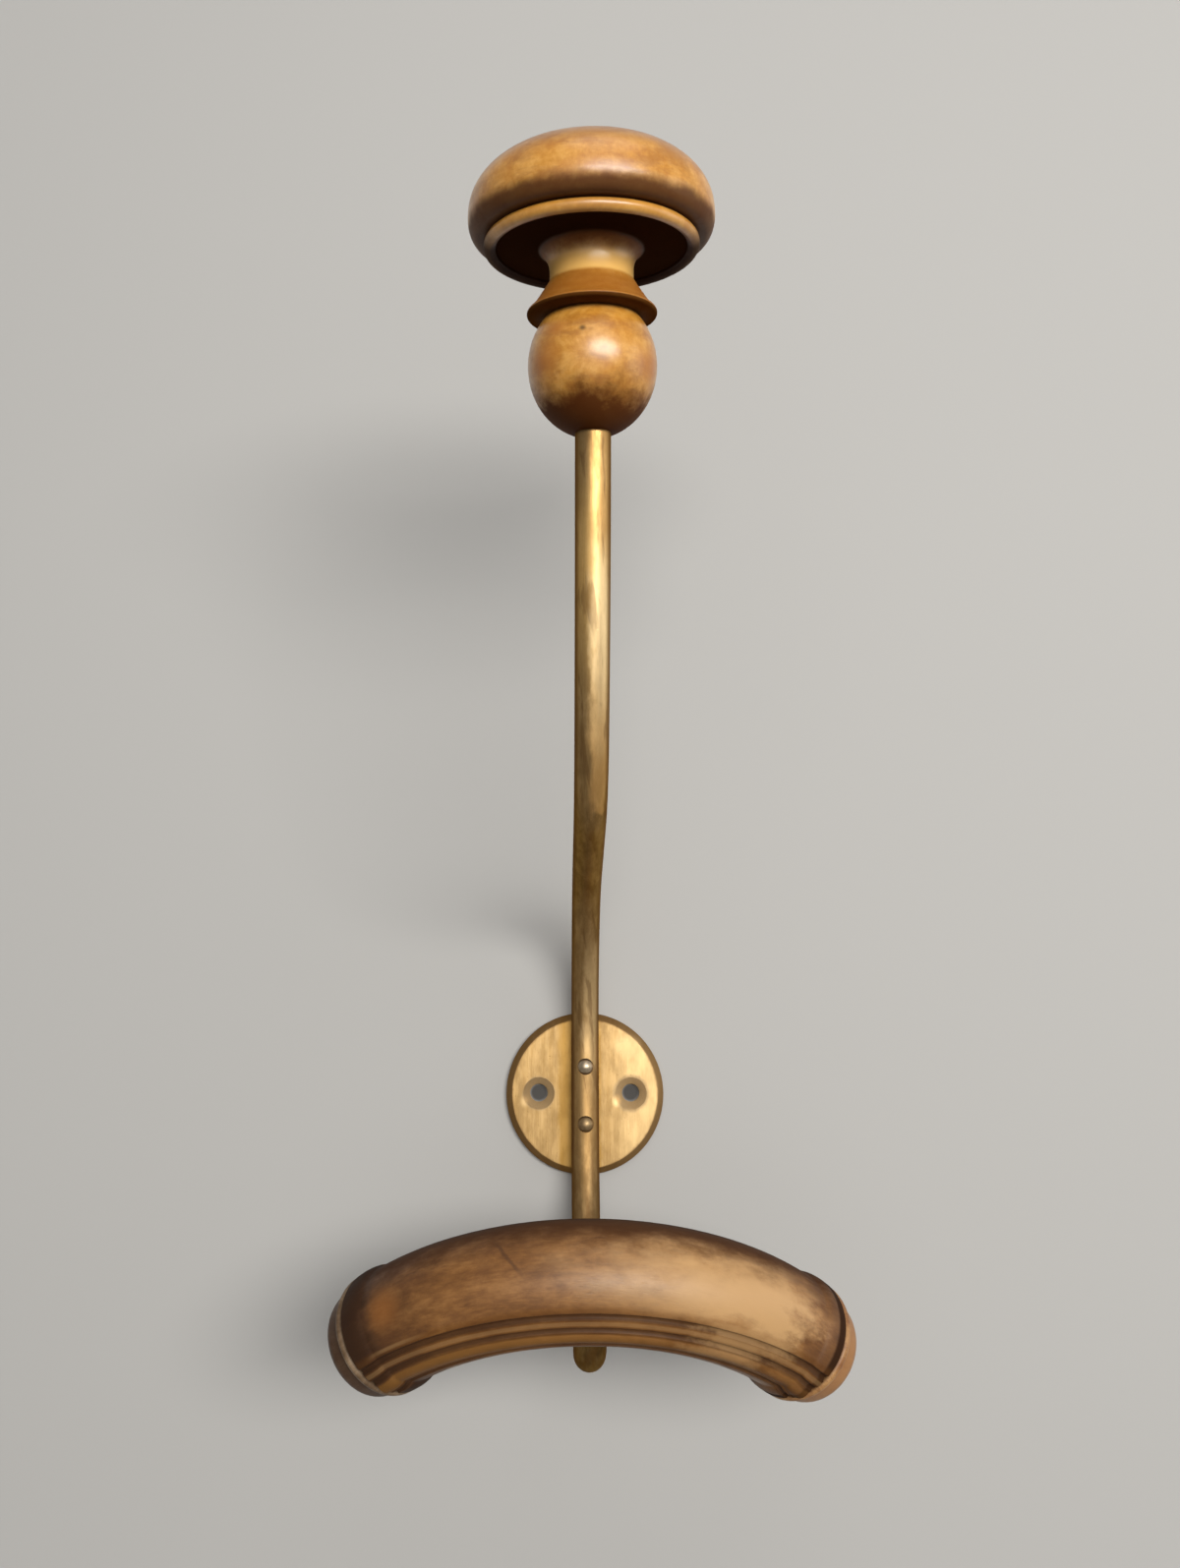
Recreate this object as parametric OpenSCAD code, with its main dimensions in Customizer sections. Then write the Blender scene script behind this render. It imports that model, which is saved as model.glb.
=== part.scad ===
// Wall coat hook: a bent brass rod riveted to a round wall plate, with a turned wooden knob on its
// upper end for a hat and a bentwood arch across its lower tip for a coat's shoulders.
// +Z is up and +X is to the right, and the hook reaches away from the wall along -Y.
// The origin is the centre of the wall plate's back face.

/* [Main sizes] */
// Distance of the knob's foot from the wall, at the middle of the rod
knob_out = 119.7; // [108:0.1:134]
// Height of the knob's foot above the middle of the plate
knob_up = 150.9; // [146:0.1:180]

/* [Wall plate] */
// Diameter of the round plate
plate_d = 46.6; // [42:0.2:70]
// Thickness of the plate
plate_t = 3; // [2.6:0.1:6]
// Width of the sloping rim, across the face
rim_w = 1.8; // [0.6:0.1:2.6]
// Height of the rim's upright edge, from the wall
rim_edge = 1.4; // [0.6:0.1:2]
// Distance between the middles of the screw holes
screw_spacing = 27.3; // [24:0.1:30]
// Diameter of a screw hole
screw_d = 5.2; // [3.5:0.1:6]
// Diameter of a screw's countersink, at the face
sink_d = 9.2; // [7:0.1:10]

/* [Rod] */
// Diameter of the brass rod
rod_d = 8; // [7:0.1:9]
// Depth of the flat that seats the rod on the plate
seat_depth = 0.5; // [0.2:0.05:1]
// Length of the straight that lies against the plate, centred on it
seat_len = 22; // [21:0.5:30]
// Radius of the first bend above the plate, away from the wall
sweep_r = 52; // [46:0.5:58]
// Turn of the first bend
sweep_turn = 74; // [71:0.5:79]
// Radius of the second bend, upward again
rise_r = 34; // [28:0.5:42]
// Turn of the second bend
rise_turn = 47; // [42:0.5:52]
// Radius of the long easy curve up to the knob
ease_r = 225; // [160:1:245]
// Turn of the long easy curve
ease_turn = 14; // [9:0.5:15]
// Radius of the first bend below the plate, away from the wall
drop_r = 55.2; // [46:0.1:60]
// Turn of the first bend below the plate
drop_turn = 53.4; // [45:0.1:65]
// Radius of the tight bend at the bottom of the hook
hook_r = 24; // [22:0.5:34]
// Turn of the tight bend
hook_turn = 80.2; // [70:0.1:88]
// Length of the straight from the tight bend to the middle of the arch
tip_len = 26.3; // [20:0.1:40]

/* [Rivets] */
// Distance between the middles of the rivets
rivet_spacing = 16.2; // [14:0.1:18]
// Diameter of a rivet's shank
rivet_d = 3.2; // [2.4:0.1:3.6]
// Diameter of a rivet's round head
rivet_head_d = 4.6; // [4:0.1:5.2]
// Height of the round head above its seat in the rod
rivet_head_h = 1.9; // [1.4:0.1:2.4]
// Depth of the round seat that is sunk into the rod for the head
rivet_seat = 0.9; // [0.8:0.05:1.2]
// Diameter of the closing head, flush with the plate's back face
rivet_foot_d = 5.6; // [4.6:0.1:6.4]

/* [Knob] */
// Diameter of the ball
ball_d = 28.4; // [26:0.2:32]
// Full height of the ball, a little taller than it is wide
ball_h = 30.4; // [28:0.2:34]
// Diameter of the thin collar above the ball
collar_d = 28.6; // [26:0.2:32]
// Thickness of the collar's rounded rim
collar_t = 1.4; // [1:0.1:1.8]
// Height of the collar's underside above the middle of the ball
collar_z = 10.7; // [8:0.1:11]
// Diameter of the neck at its narrowest
neck_d = 18.4; // [16:0.2:22]
// Height of the cone-shaped foot of the neck, above the collar
neck_cone_h = 6.4; // [4:0.1:8]
// Reach of the neck's flare, from the neck out to the underside of the cap
flare_w = 4.4; // [2:0.1:7]
// Height of the neck's flare
flare_h = 5; // [3:0.1:5.3]
// Diameter of the mushroom cap
cap_d = 53.8; // [50:0.2:64]
// Height of the cap's widest ring above the middle of the ball
cap_z = 31.2; // [31:0.2:34]
// Rise of the dome above the widest ring
dome_rise = 14.7; // [9:0.1:18]
// Depth of the rounded edge below the widest ring
edge_drop = 4.1; // [3:0.1:4.4]
// Width of the rounded edge
edge_w = 2.4; // [1.6:0.1:3]
// Diameter of the bead under the cap
bead_d = 47.2; // [44:0.2:49]
// Thickness of the bead
bead_t = 2.8; // [2:0.1:3.2]
// Depth that the rod reaches into the knob
knob_bore = 26; // [18:0.5:36]
// Sideways lean of the knob on the rod, to the left as seen from the front
knob_lean = 0.6; // [0:0.1:2]

/* [Arch] */
// Radius of the arch, to the middle of its bar
arch_r = 63.7; // [56:0.1:80]
// Half of the angle that the bar spans
arch_half = 48.9; // [40:0.1:55]
// Turn of the bar round its own ring, towards the right
arch_shift = 0.9; // [0:0.1:3]
// Diameter of the bar
bar_d = 26.8; // [24:0.2:30]
// Radius of the small grooves that run along the bar
groove_r = 0.75; // [0.4:0.05:1]
// Diameter of the bead that runs along each side of the bar
bar_bead_d = 5; // [4.6:0.1:5.4]
// Distance that the bead stands proud of the bar
bar_bead_proud = 0.5; // [0.2:0.1:0.8]
// Depth that the rod reaches into the bar
tip_bore = 17; // [14:0.5:20]
// Lean of the arch on the rod's tip, lower on the right
arch_lean = 0.6; // [0:0.1:2]
// Height that the bar swells at each end, over its own surface
swell = 0.9; // [0.4:0.1:1.4]
// Length of the swelling, and of its full part next to the end cap
swell_len = 5.5; // [4:0.1:12]
swell_full_len = 1.5; // [0.5:0.1:3]

/* [End caps] */
// Diameter of an end cap's rim
end_rim_d = 28.4; // [27.8:0.2:32]
// Thickness of the rim
end_rim_t = 2.4; // [1.6:0.1:3]
// Diameter of the boss outside the rim
end_boss_d = 25.4; // [22:0.2:25.4]
// Height of the boss
end_boss_h = 6.8; // [4.5:0.1:8]
// Radius of the boss's rounded edge
end_boss_round = 3.5; // [1:0.1:4.4]
// Width of the narrow shadow groove between the bar and the rim
end_gap = 0.7; // [0.4:0.1:1.2]
// Depth of the shadow groove
end_gap_depth = 1.2; // [0.6:0.1:2]
// Diameter of the spigot that holds the cap in the bar
spigot_d = 9; // [7:0.2:11]
// Length of the spigot
spigot_len = 10; // [7:0.2:13]

/* [Fits] */
// Gap all round a rivet's shank and foot
rivet_fit = 0.05; // [0.02:0.01:0.1]
// Gap all round the rod in its wooden sockets
socket_fit = 0.1; // [0.05:0.01:0.2]
// Space left past the end of the rod or a spigot, at the bottom of its socket
socket_end = 0.8; // [0.4:0.1:1.5]

/* [Hidden] */
$fn = 72;

// Small overshoot that lets a cutter pass right through a face
past = 1;
// Half length of a sleeve between two stretches of the rod, and its height over the rod's surface
sleeve_half = 0.3;
sleeve_proud = 0.02;
// Points in each computed curve of a turned outline
curve_steps = 16;
// Roundness of the dome: 1 gives an ellipse, and less gives a fuller shoulder
dome_power = 0.88;
// Points along the neck's cone, and its hollowness: 2 gives a straight side, and more gives a hollow one
cone_steps = 8;
cone_power = 2.1;

// Distance of the rod's centreline from the wall, along the plate
rod_out = plate_t + rod_d / 2 - seat_depth;
// Headings are angles from the outward direction towards up
heading_up = 90;
heading_down = -90;
// Distance from the wall, height and heading where each run starts
upper_start = [rod_out, seat_len / 2, heading_up];
lower_start = [rod_out, -seat_len / 2, heading_down];
// The upper run's two straights are just long enough to reach the knob's foot past its three bends
slant_heading = heading_up - sweep_turn;
stem_heading = slant_heading + rise_turn + ease_turn;
upper_bends = [[sweep_r, -sweep_turn], [rise_r, rise_turn], [ease_r, ease_turn]];
bends_end = pose_after(upper_bends, len(upper_bends), upper_start);
left_to_go = [knob_out - bends_end[0], knob_up - bends_end[1]];
straights_across = cross(along(slant_heading), along(stem_heading));
slant_len = cross(left_to_go, along(stem_heading)) / straights_across;
stem_len = cross(along(slant_heading), left_to_go) / straights_across;
// The rod's stretches as [length, 0] for a straight and [radius, turn] for a bend
upper_run = [
    [sweep_r, -sweep_turn],
    [slant_len, 0],
    [rise_r, rise_turn],
    [ease_r, ease_turn],
    [stem_len, 0]
];
lower_run = [
    [drop_r, drop_turn],
    [hook_r, hook_turn],
    [tip_len, 0]
];
// Distance from the wall, height and heading where the rod enters the knob and at the arch's middle
knob_pose = pose_after(upper_run, len(upper_run), upper_start);
arch_pose = pose_after(lower_run, len(lower_run), lower_start);

ball_r = ball_d / 2;
// Radius of the small flat round the rod, under the ball
ball_foot_r = rod_d / 2 + 1;
// Height of the ball's middle above that flat
ball_mid = ball_h / 2 * sqrt(1 - pow(ball_foot_r / ball_r, 2));
cap_r = cap_d / 2;
neck_r = neck_d / 2;
bar_r = bar_d / 2;

// Angles of the bar's mouldings, from the outermost line of the bar towards either side
outer_groove_at = 63;
inner_groove_at = 77.8;
bead_at = 91;
under_groove_at = 104.5;

// Step of one millimetre along a heading
function along(heading) = [cos(heading), sin(heading)];

// Where the middle of the rod is after one stretch: distance from the wall, height and heading
function pose_step(p, s) = s[1] == 0
    ? [p[0] + s[0] * cos(p[2]), p[1] + s[0] * sin(p[2]), p[2]]
    : [
        p[0] + sign(s[1]) * s[0] * (sin(p[2] + s[1]) - sin(p[2])),
        p[1] + sign(s[1]) * s[0] * (cos(p[2]) - cos(p[2] + s[1])),
        p[2] + s[1]
    ];

// Where the middle of the rod is after the first n stretches of a run
function pose_after(run, n, start) = n == 0
    ? start
    : pose_step(pose_after(run, n - 1, start), run[n - 1]);

// Points along part of an ellipse, for a turned outline, without the two ends of that part
function curve(mid, rx, ry, from, to) = [
    for (i = [0.5 : curve_steps - 0.5])
        let (a = from + (to - from) * i / curve_steps)
            [mid[0] + rx * cos(a), mid[1] + ry * sin(a)]
];

// Points along the cone-shaped foot of the neck, between its two ends
function cone_curve(r_low, r_high, rise, z) = [
    for (i = [1 : cone_steps - 1])
        let (a = 90 * i / cone_steps)
            [r_high + (r_low - r_high) * pow(cos(a), cone_power), z + rise * pow(sin(a), cone_power)]
];

// Points along the dome, from its widest ring to just before its top
function dome_curve(r, rise, z) = [
    for (i = [0 : 2 * curve_steps - 1])
        let (a = 90 * i / (2 * curve_steps))
            [r * pow(cos(a), dome_power), z + rise * pow(sin(a), dome_power)]
];

// Puts a piece at a place on the rod, with its +Z along the rod
module at_pose(p) {
    translate([0, -p[0], p[1]])
        rotate([90 - p[2], 0, 0])
            children();
}

// Bent or straight stretch of the rod, from the origin along +Z and bending towards +Y or -Y.
// It stops short of both its ends, inside the sleeves that join it to its neighbours.
module stretch(size, turn) {
    if (turn == 0) {
        translate([0, 0, sleeve_half / 2])
            cylinder(h = size - sleeve_half, d = rod_d);
    } else {
        skip = sleeve_half / 2 / size * 180 / PI;
        translate([0, sign(turn) * size, 0])
            rotate([90, 0, -90 * sign(turn)])
                rotate([0, 0, skip])
                    rotate_extrude(angle = abs(turn) - 2 * skip)
                        translate([size, 0])
                            circle(d = rod_d);
    }
}

// Short sleeve, a hair wider than the rod, that joins two stretches where their surfaces would meet
module sleeve() {
    translate([0, 0, -sleeve_half])
        cylinder(h = 2 * sleeve_half, d = rod_d + 2 * sleeve_proud);
}

// A whole run of the rod, with its last straight carried on into the wood
module run_of_rod(run, start, buried) {
    last = len(run) - 1;
    for (i = [0 : last])
        at_pose(pose_after(run, i, start)) {
            sleeve();
            stretch(run[i][0] + (i == last ? buried : 0), run[i][1]);
        }
}

// Puts a copy at each rivet's height
module at_rivet(side) {
    translate([0, 0, side * rivet_spacing / 2])
        children();
}

// Cone-shaped sink, widest at z = 0 and narrowing to the shank's diameter
module sink(wide, narrow) {
    depth = (wide - narrow) / 2;
    cylinder(h = depth, d1 = wide, d2 = narrow);
}

// Round plate with a sloping rim, two countersunk screw holes and two rivet holes
module wall_plate() {
    color([0.80, 0.62, 0.27])
        difference() {
            rotate([90, 0, 0])
                union() {
                    cylinder(h = rim_edge, d = plate_d);
                    translate([0, 0, rim_edge])
                        cylinder(h = plate_t - rim_edge, d1 = plate_d, d2 = plate_d - 2 * rim_w);
                }
            for (side = [-1, 1])
                translate([side * screw_spacing / 2, 0, 0]) {
                    translate([0, past, 0])
                        rotate([90, 0, 0])
                            cylinder(h = plate_t + 2 * past, d = screw_d);
                    translate([0, -plate_t, 0])
                        rotate([-90, 0, 0])
                            sink(sink_d, screw_d);
                }
            for (side = [-1, 1])
                at_rivet(side) {
                    translate([0, past, 0])
                        rotate([90, 0, 0])
                            cylinder(h = plate_t + 2 * past, d = rivet_d + 2 * rivet_fit);
                    rotate([90, 0, 0])
                        sink(rivet_foot_d + 2 * rivet_fit, rivet_d + 2 * rivet_fit);
                }
        }
}

// Bent rod, flat where it seats on the plate, bored and spot-faced for the rivets
module hook_rod() {
    color([0.66, 0.50, 0.22])
        difference() {
            union() {
                run_of_rod(upper_run, upper_start, knob_bore);
                run_of_rod(lower_run, lower_start, tip_bore - bar_r);
                translate([0, -rod_out, -seat_len / 2])
                    stretch(seat_len, 0);
            }
            translate([-rod_d / 2, -plate_t, -plate_d / 2])
                cube([rod_d, seat_depth + past, plate_d]);
            for (side = [-1, 1])
                at_rivet(side) {
                    rotate([90, 0, 0])
                        cylinder(h = rod_out + rod_d, d = rivet_d + 2 * rivet_fit);
                    translate([0, rivet_seat - rod_out - rod_d / 2, 0])
                        rotate([90, 0, 0])
                            cylinder(h = rivet_seat + past, d = rivet_head_d + 2 * rivet_fit);
                }
        }
}

// Rivet with a domed head on the rod and a foot closed flush with the plate's back face
module rivet(side) {
    // Distance from the wall to the head's seat, and the radius of the head's round top
    seat_out = rod_out + rod_d / 2 - rivet_seat;
    dome_r = (pow(rivet_head_d / 2, 2) + pow(rivet_head_h, 2)) / (2 * rivet_head_h);
    at_rivet(side)
        rotate([90, 0, 0])
            union() {
                cylinder(h = seat_out, d = rivet_d);
                sink(rivet_foot_d, rivet_d);
                translate([0, 0, seat_out])
                    intersection() {
                        cylinder(h = rivet_head_h, d = rivet_head_d);
                        translate([0, 0, rivet_head_h - dome_r])
                            sphere(r = dome_r);
                    }
            }
}

module upper_rivet() {
    color([0.72, 0.60, 0.36])
        rivet(1);
}

module lower_rivet() {
    color([0.72, 0.60, 0.36])
        rivet(-1);
}

// Half outline of the knob, from its foot up, as [radius, height above the foot]
function knob_outline() =
    let (
        collar_r = collar_d / 2,
        collar_bottom = ball_mid + collar_z,
        collar_mid = collar_bottom + collar_t / 2,
        collar_top = collar_bottom + collar_t,
        cap_mid = ball_mid + cap_z,
        bead_mid = cap_mid - edge_drop - bead_t / 2,
        neck_top = bead_mid - flare_h,
        ball_meets = asin(collar_z / (ball_h / 2))
    )
    concat(
        [[0, 0], [ball_foot_r, 0]],
        curve([0, ball_mid], ball_r, ball_h / 2, -acos(ball_foot_r / ball_r), ball_meets),
        curve([collar_r - collar_t / 2, collar_mid], collar_t / 2, collar_t / 2, -90, 90),
        cone_curve(collar_r - collar_t / 2, neck_r, neck_cone_h, collar_top),
        [[neck_r, collar_top + neck_cone_h]],
        curve([neck_r + flare_w, neck_top], flare_w, flare_h, 180, 90),
        curve([bead_d / 2 - bead_t / 2, bead_mid], bead_t / 2, bead_t / 2, -180, 90),
        curve([cap_r - edge_w, cap_mid], edge_w, edge_drop, -90, 0),
        dome_curve(cap_r, dome_rise, cap_mid),
        [[0, cap_mid + dome_rise]]
    );

// Turned knob: a ball, a thin collar, a waisted neck and a mushroom cap with a bead under its edge
module knob() {
    color([0.58, 0.36, 0.15])
        difference() {
            at_pose(knob_pose)
                rotate([0, -knob_lean, 0])
                    rotate_extrude()
                        polygon(knob_outline());
            at_pose(knob_pose)
                translate([0, 0, -past])
                    cylinder(h = past + knob_bore + socket_end, d = rod_d + 2 * socket_fit);
        }
}

// Puts a piece in the frame of the arch, with its middle at the origin and its top along +Y
module arch_frame() {
    at_pose(arch_pose)
        rotate([0, arch_lean, 0])
            translate([0, 0, -arch_r])
                rotate([90, 0, 0])
                    children();
}

// Puts a piece on the end of the bar, with its +Z out of the bar
module at_bar_end(side) {
    arch_frame()
        rotate([0, 0, 90 - arch_shift - side * arch_half])
            translate([arch_r, 0, 0])
                rotate([side * 90, 0, 0])
                    children();
}

// Cross-section of the bar, with a groove, a reed, a groove and a bead along each side
module bar_section() {
    difference() {
        union() {
            circle(r = bar_r);
            for (side = [-1, 1])
                rotate(side * bead_at)
                    translate([bar_r + bar_bead_proud - bar_bead_d / 2, 0])
                        circle(d = bar_bead_d);
        }
        for (side = [-1, 1])
            for (at = [outer_groove_at, inner_groove_at, under_groove_at])
                rotate(side * at)
                    translate([bar_r + groove_r / 4, 0])
                        circle(r = groove_r, $fn = 24);
    }
}

// Half outline of the swelling at an end of the bar, from inside the bar to its end face
function swell_outline() = concat(
    [[0, -swell_len], [bar_r - swell, -swell_len]],
    curve([bar_r - swell, -swell_full_len], 2 * swell, swell_len - swell_full_len, -90, 0),
    [[bar_r + swell, 0], [0, 0]]
);

// Bentwood bar that swells at both ends, bored for the rod's tip and for the caps' spigots
module coat_arch() {
    color([0.42, 0.26, 0.13])
        difference() {
            union() {
                arch_frame()
                    rotate([0, 0, 90 - arch_shift - arch_half])
                        rotate_extrude(angle = 2 * arch_half)
                            translate([arch_r, 0])
                                bar_section();
                for (side = [-1, 1])
                    at_bar_end(side)
                        rotate_extrude()
                            polygon(swell_outline());
            }
            at_pose(arch_pose)
                translate([0, 0, -2 * bar_r])
                    cylinder(h = bar_r + tip_bore + socket_end, d = rod_d + 2 * socket_fit);
            for (side = [-1, 1])
                at_bar_end(side)
                    translate([0, 0, -spigot_len - socket_end])
                        cylinder(h = spigot_len + socket_end + past, d = spigot_d + 2 * socket_fit);
        }
}

// Half outline of an end cap, from the spigot's inner end outwards, as [radius, distance]
function end_cap_outline() =
    let (
        rim_mid = end_gap + end_rim_t / 2,
        rim_top = end_gap + end_rim_t,
        rim_round = end_rim_t / 2,
        boss_r = end_boss_d / 2,
        boss_top = rim_top + end_boss_h
    )
    concat(
        [
            [0, -spigot_len],
            [spigot_d / 2, -spigot_len],
            [spigot_d / 2, 0],
            [bar_r - end_gap_depth, 0],
            [bar_r - end_gap_depth, end_gap]
        ],
        curve([end_rim_d / 2 - rim_round, rim_mid], rim_round, rim_round, -90, 90),
        [[boss_r, rim_top]],
        curve([boss_r - end_boss_round, boss_top - end_boss_round], end_boss_round, end_boss_round, 0, 90),
        [[0, boss_top]]
    );

// Turned end cap on the bar: a spigot, a rounded rim and a round-edged boss
module end_cap(side) {
    at_bar_end(side)
        rotate_extrude()
            polygon(end_cap_outline());
}

module left_end_cap() {
    color([0.34, 0.21, 0.11])
        end_cap(-1);
}

module right_end_cap() {
    color([0.50, 0.32, 0.16])
        end_cap(1);
}

wall_plate();
hook_rod();
upper_rivet();
lower_rivet();
knob();
coat_arch();
left_end_cap();
right_end_cap();
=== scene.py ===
"""Looks of a wall coat hook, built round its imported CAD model.

A bent brass rod is riveted to a round brass plate. Its upper end carries a turned wooden knob for
a hat, and its lower tip a bentwood arch for a coat's shoulders, with a turned cap on each end.
All lengths are in metres and all angles in degrees. +Z is up, +X is to the right, and the hook
reaches away from the wall along -Y.
"""

import logging
import math
from dataclasses import dataclass
from enum import Enum
from typing import Any, Callable, Iterable, Sequence

import bpy
from mathutils import Matrix, Vector
from mathutils.kdtree import KDTree

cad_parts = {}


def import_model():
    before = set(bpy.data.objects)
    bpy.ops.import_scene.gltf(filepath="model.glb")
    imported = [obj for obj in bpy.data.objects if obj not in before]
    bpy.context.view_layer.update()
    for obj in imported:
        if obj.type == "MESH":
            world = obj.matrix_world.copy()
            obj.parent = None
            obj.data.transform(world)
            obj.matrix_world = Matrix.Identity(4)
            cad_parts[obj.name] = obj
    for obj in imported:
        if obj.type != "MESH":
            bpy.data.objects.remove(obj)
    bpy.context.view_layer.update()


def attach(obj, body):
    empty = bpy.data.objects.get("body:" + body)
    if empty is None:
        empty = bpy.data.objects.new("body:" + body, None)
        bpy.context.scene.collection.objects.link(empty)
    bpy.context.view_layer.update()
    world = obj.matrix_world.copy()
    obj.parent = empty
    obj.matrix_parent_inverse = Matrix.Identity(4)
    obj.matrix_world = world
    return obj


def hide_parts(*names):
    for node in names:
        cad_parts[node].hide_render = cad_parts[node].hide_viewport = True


LOG = logging.getLogger("coat_hook")
BODY = "root"
# Name of the attribute that holds each point's place in its piece's own straight frame
PLACE = "place"
# Points closer than this are one point
WELD = 1e-6
# Size of the plane that is merged into an outline's first point
SPECK = 1e-4
# Sizes that more than one piece is made to
PLATE_T = 0.003
SCREW_SPACING = 0.0273
RIVET_SPACING = 0.0162

Outline = list[tuple[float, float]]
Colour = tuple[float, float, float]


class Slot(Enum):
    """The record's material slots."""

    PLATE = "plate_brass"
    ROD = "rod_brass"
    RIVET = "rivet_brass"
    KNOB = "knob_wood"
    ARCH = "arch_wood"
    CAP = "cap_wood"


class Side(Enum):
    """Left and right, as seen from the front."""

    LEFT = -1
    RIGHT = 1


def rgba(colour: Colour) -> tuple[float, float, float, float]:
    """Returns a colour with full alpha, for a node socket."""
    return (*colour, 1.0)


def srgb(red: int, green: int, blue: int) -> Colour:
    """Turns a screen colour into the linear colour that a shader takes.

    Args:
        red: Red from 0 to 255.
        green: Green from 0 to 255.
        blue: Blue from 0 to 255.

    Returns:
        The linear colour.
    """

    def linear(value: int) -> float:
        """Returns one channel, made linear."""
        part = value / 255
        return part / 12.92 if part <= 0.04045 else ((part + 0.055) / 1.055) ** 2.4

    return (linear(red), linear(green), linear(blue))


def rotation(angle: float, axis: str) -> Matrix:
    """Returns the matrix of a turn about an axis."""
    return Matrix.Rotation(math.radians(angle), 4, axis)


# Modelling by hand: selecting, tracing, spinning and drilling


def deselect() -> None:
    """Leaves edit mode and deselects every object."""
    if bpy.context.mode != "OBJECT":
        bpy.ops.object.mode_set(mode="OBJECT")
    bpy.ops.object.select_all(action="DESELECT")


def pick(piece: bpy.types.Object) -> None:
    """Makes a piece the active one and the only one selected.

    Args:
        piece: The piece.
    """
    deselect()
    piece.select_set(True)
    bpy.context.view_layer.objects.active = piece


def edit(piece: bpy.types.Object) -> None:
    """Picks a piece and opens it in edit mode.

    Args:
        piece: The piece.
    """
    pick(piece)
    bpy.ops.object.mode_set(mode="EDIT")
    bpy.ops.mesh.select_mode(type="VERT")


def select_points(piece: bpy.types.Object, wanted: Callable[[Vector], bool]) -> None:
    """Selects a piece's points by their place, and returns to edit mode.

    Args:
        piece: The piece, in edit mode.
        wanted: Says whether the point at a place is selected.
    """
    bpy.ops.mesh.select_all(action="DESELECT")
    bpy.ops.object.mode_set(mode="OBJECT")
    for point in piece.data.vertices:
        point.select = wanted(point.co)
    bpy.ops.object.mode_set(mode="EDIT")


def close_mesh() -> None:
    """Merges the edited piece's doubled points, turns its faces outwards and leaves edit mode."""
    bpy.ops.mesh.select_all(action="SELECT")
    bpy.ops.mesh.remove_doubles(threshold=WELD)
    bpy.ops.mesh.normals_make_consistent(inside=False)
    bpy.ops.object.mode_set(mode="OBJECT")


def trace(name: str, outline: Outline, closed: bool = False) -> bpy.types.Object:
    """Draws an outline in the XZ plane, as one point extruded from place to place.

    Args:
        name: Name of the new piece.
        outline: Places as (x, z).
        closed: Whether the last place is joined to the first.

    Returns:
        The piece, in edit mode, with its whole outline selected.
    """
    deselect()
    first = Vector((outline[0][0], 0, outline[0][1]))
    bpy.ops.mesh.primitive_plane_add(size=SPECK)
    piece = bpy.context.object
    piece.name = name
    bpy.ops.object.mode_set(mode="EDIT")
    bpy.ops.mesh.merge(type="CENTER")
    bpy.ops.transform.translate(value=first)
    for (x0, z0), (x1, z1) in zip(outline, outline[1:]):
        bpy.ops.mesh.extrude_vertices_move(TRANSFORM_OT_translate={"value": (x1 - x0, 0, z1 - z0)})
    if closed:
        last = Vector((outline[-1][0], 0, outline[-1][1]))
        bpy.ops.mesh.extrude_vertices_move(TRANSFORM_OT_translate={"value": first - last})
    bpy.ops.mesh.select_all(action="SELECT")
    bpy.ops.mesh.remove_doubles(threshold=WELD)
    return piece


def turned(name: str, outline: Outline, steps: int = 128) -> bpy.types.Object:
    """Turns a piece on the lathe: its half outline spun once round the Z axis.

    Args:
        name: Name of the new piece.
        outline: Half outline as (radius, height), from axis to axis.
        steps: Number of steps round the axis.

    Returns:
        The piece, closed, in object mode.
    """
    piece = trace(name, outline)
    bpy.ops.mesh.spin(steps=steps, angle=math.tau, center=(0, 0, 0), axis=(0, 0, 1))
    close_mesh()
    return piece


def arc(mid: tuple[float, float], rx: float, ry: float, start: float, end: float, steps: int = 10) -> Outline:
    """Returns places along part of an ellipse, without the two ends of that part.

    Args:
        mid: Middle of the ellipse.
        rx: Its half width.
        ry: Its half height.
        start: Angle of the part's start.
        end: Angle of the part's end.
        steps: Number of places.

    Returns:
        The places as (x, z).
    """
    angles = [math.radians(start + (end - start) * (i + 0.5) / steps) for i in range(steps)]
    return [(mid[0] + rx * math.cos(a), mid[1] + ry * math.sin(a)) for a in angles]


def apply_modifier(piece: bpy.types.Object, kind: str, **settings: Any) -> None:
    """Adds a modifier to a piece and applies it.

    Args:
        piece: The piece.
        kind: The modifier's type.
        settings: The modifier's settings.
    """
    pick(piece)
    modifier = piece.modifiers.new(kind.title(), kind)
    for key, value in settings.items():
        setattr(modifier, key, value)
    bpy.ops.object.modifier_apply(modifier=modifier.name)


def drill(piece: bpy.types.Object, cutter: bpy.types.Object) -> None:
    """Cuts a piece with another one, which is then thrown away."""
    apply_modifier(piece, "BOOLEAN", object=cutter, operation="DIFFERENCE", solver="EXACT")
    bpy.data.objects.remove(cutter)


def settle(piece: bpy.types.Object, place: Matrix) -> None:
    """Moves a piece to its place and writes that place into its mesh.

    Args:
        piece: The piece.
        place: The place.
    """
    pick(piece)
    piece.matrix_world = place
    bpy.ops.object.transform_apply(location=True, rotation=True, scale=True)


def note_places(piece: bpy.types.Object, place_of: Callable[[Vector], Iterable[float]]) -> None:
    """Writes each point's place in the piece's own straight frame, for patterns that follow it.

    Args:
        piece: The piece.
        place_of: Gives that place from the point's place in the mesh.
    """
    layer = piece.data.attributes.new(PLACE, "FLOAT_VECTOR", "POINT")
    values = [c for point in piece.data.vertices for c in place_of(point.co)]
    layer.data.foreach_set("vector", values)


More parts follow.
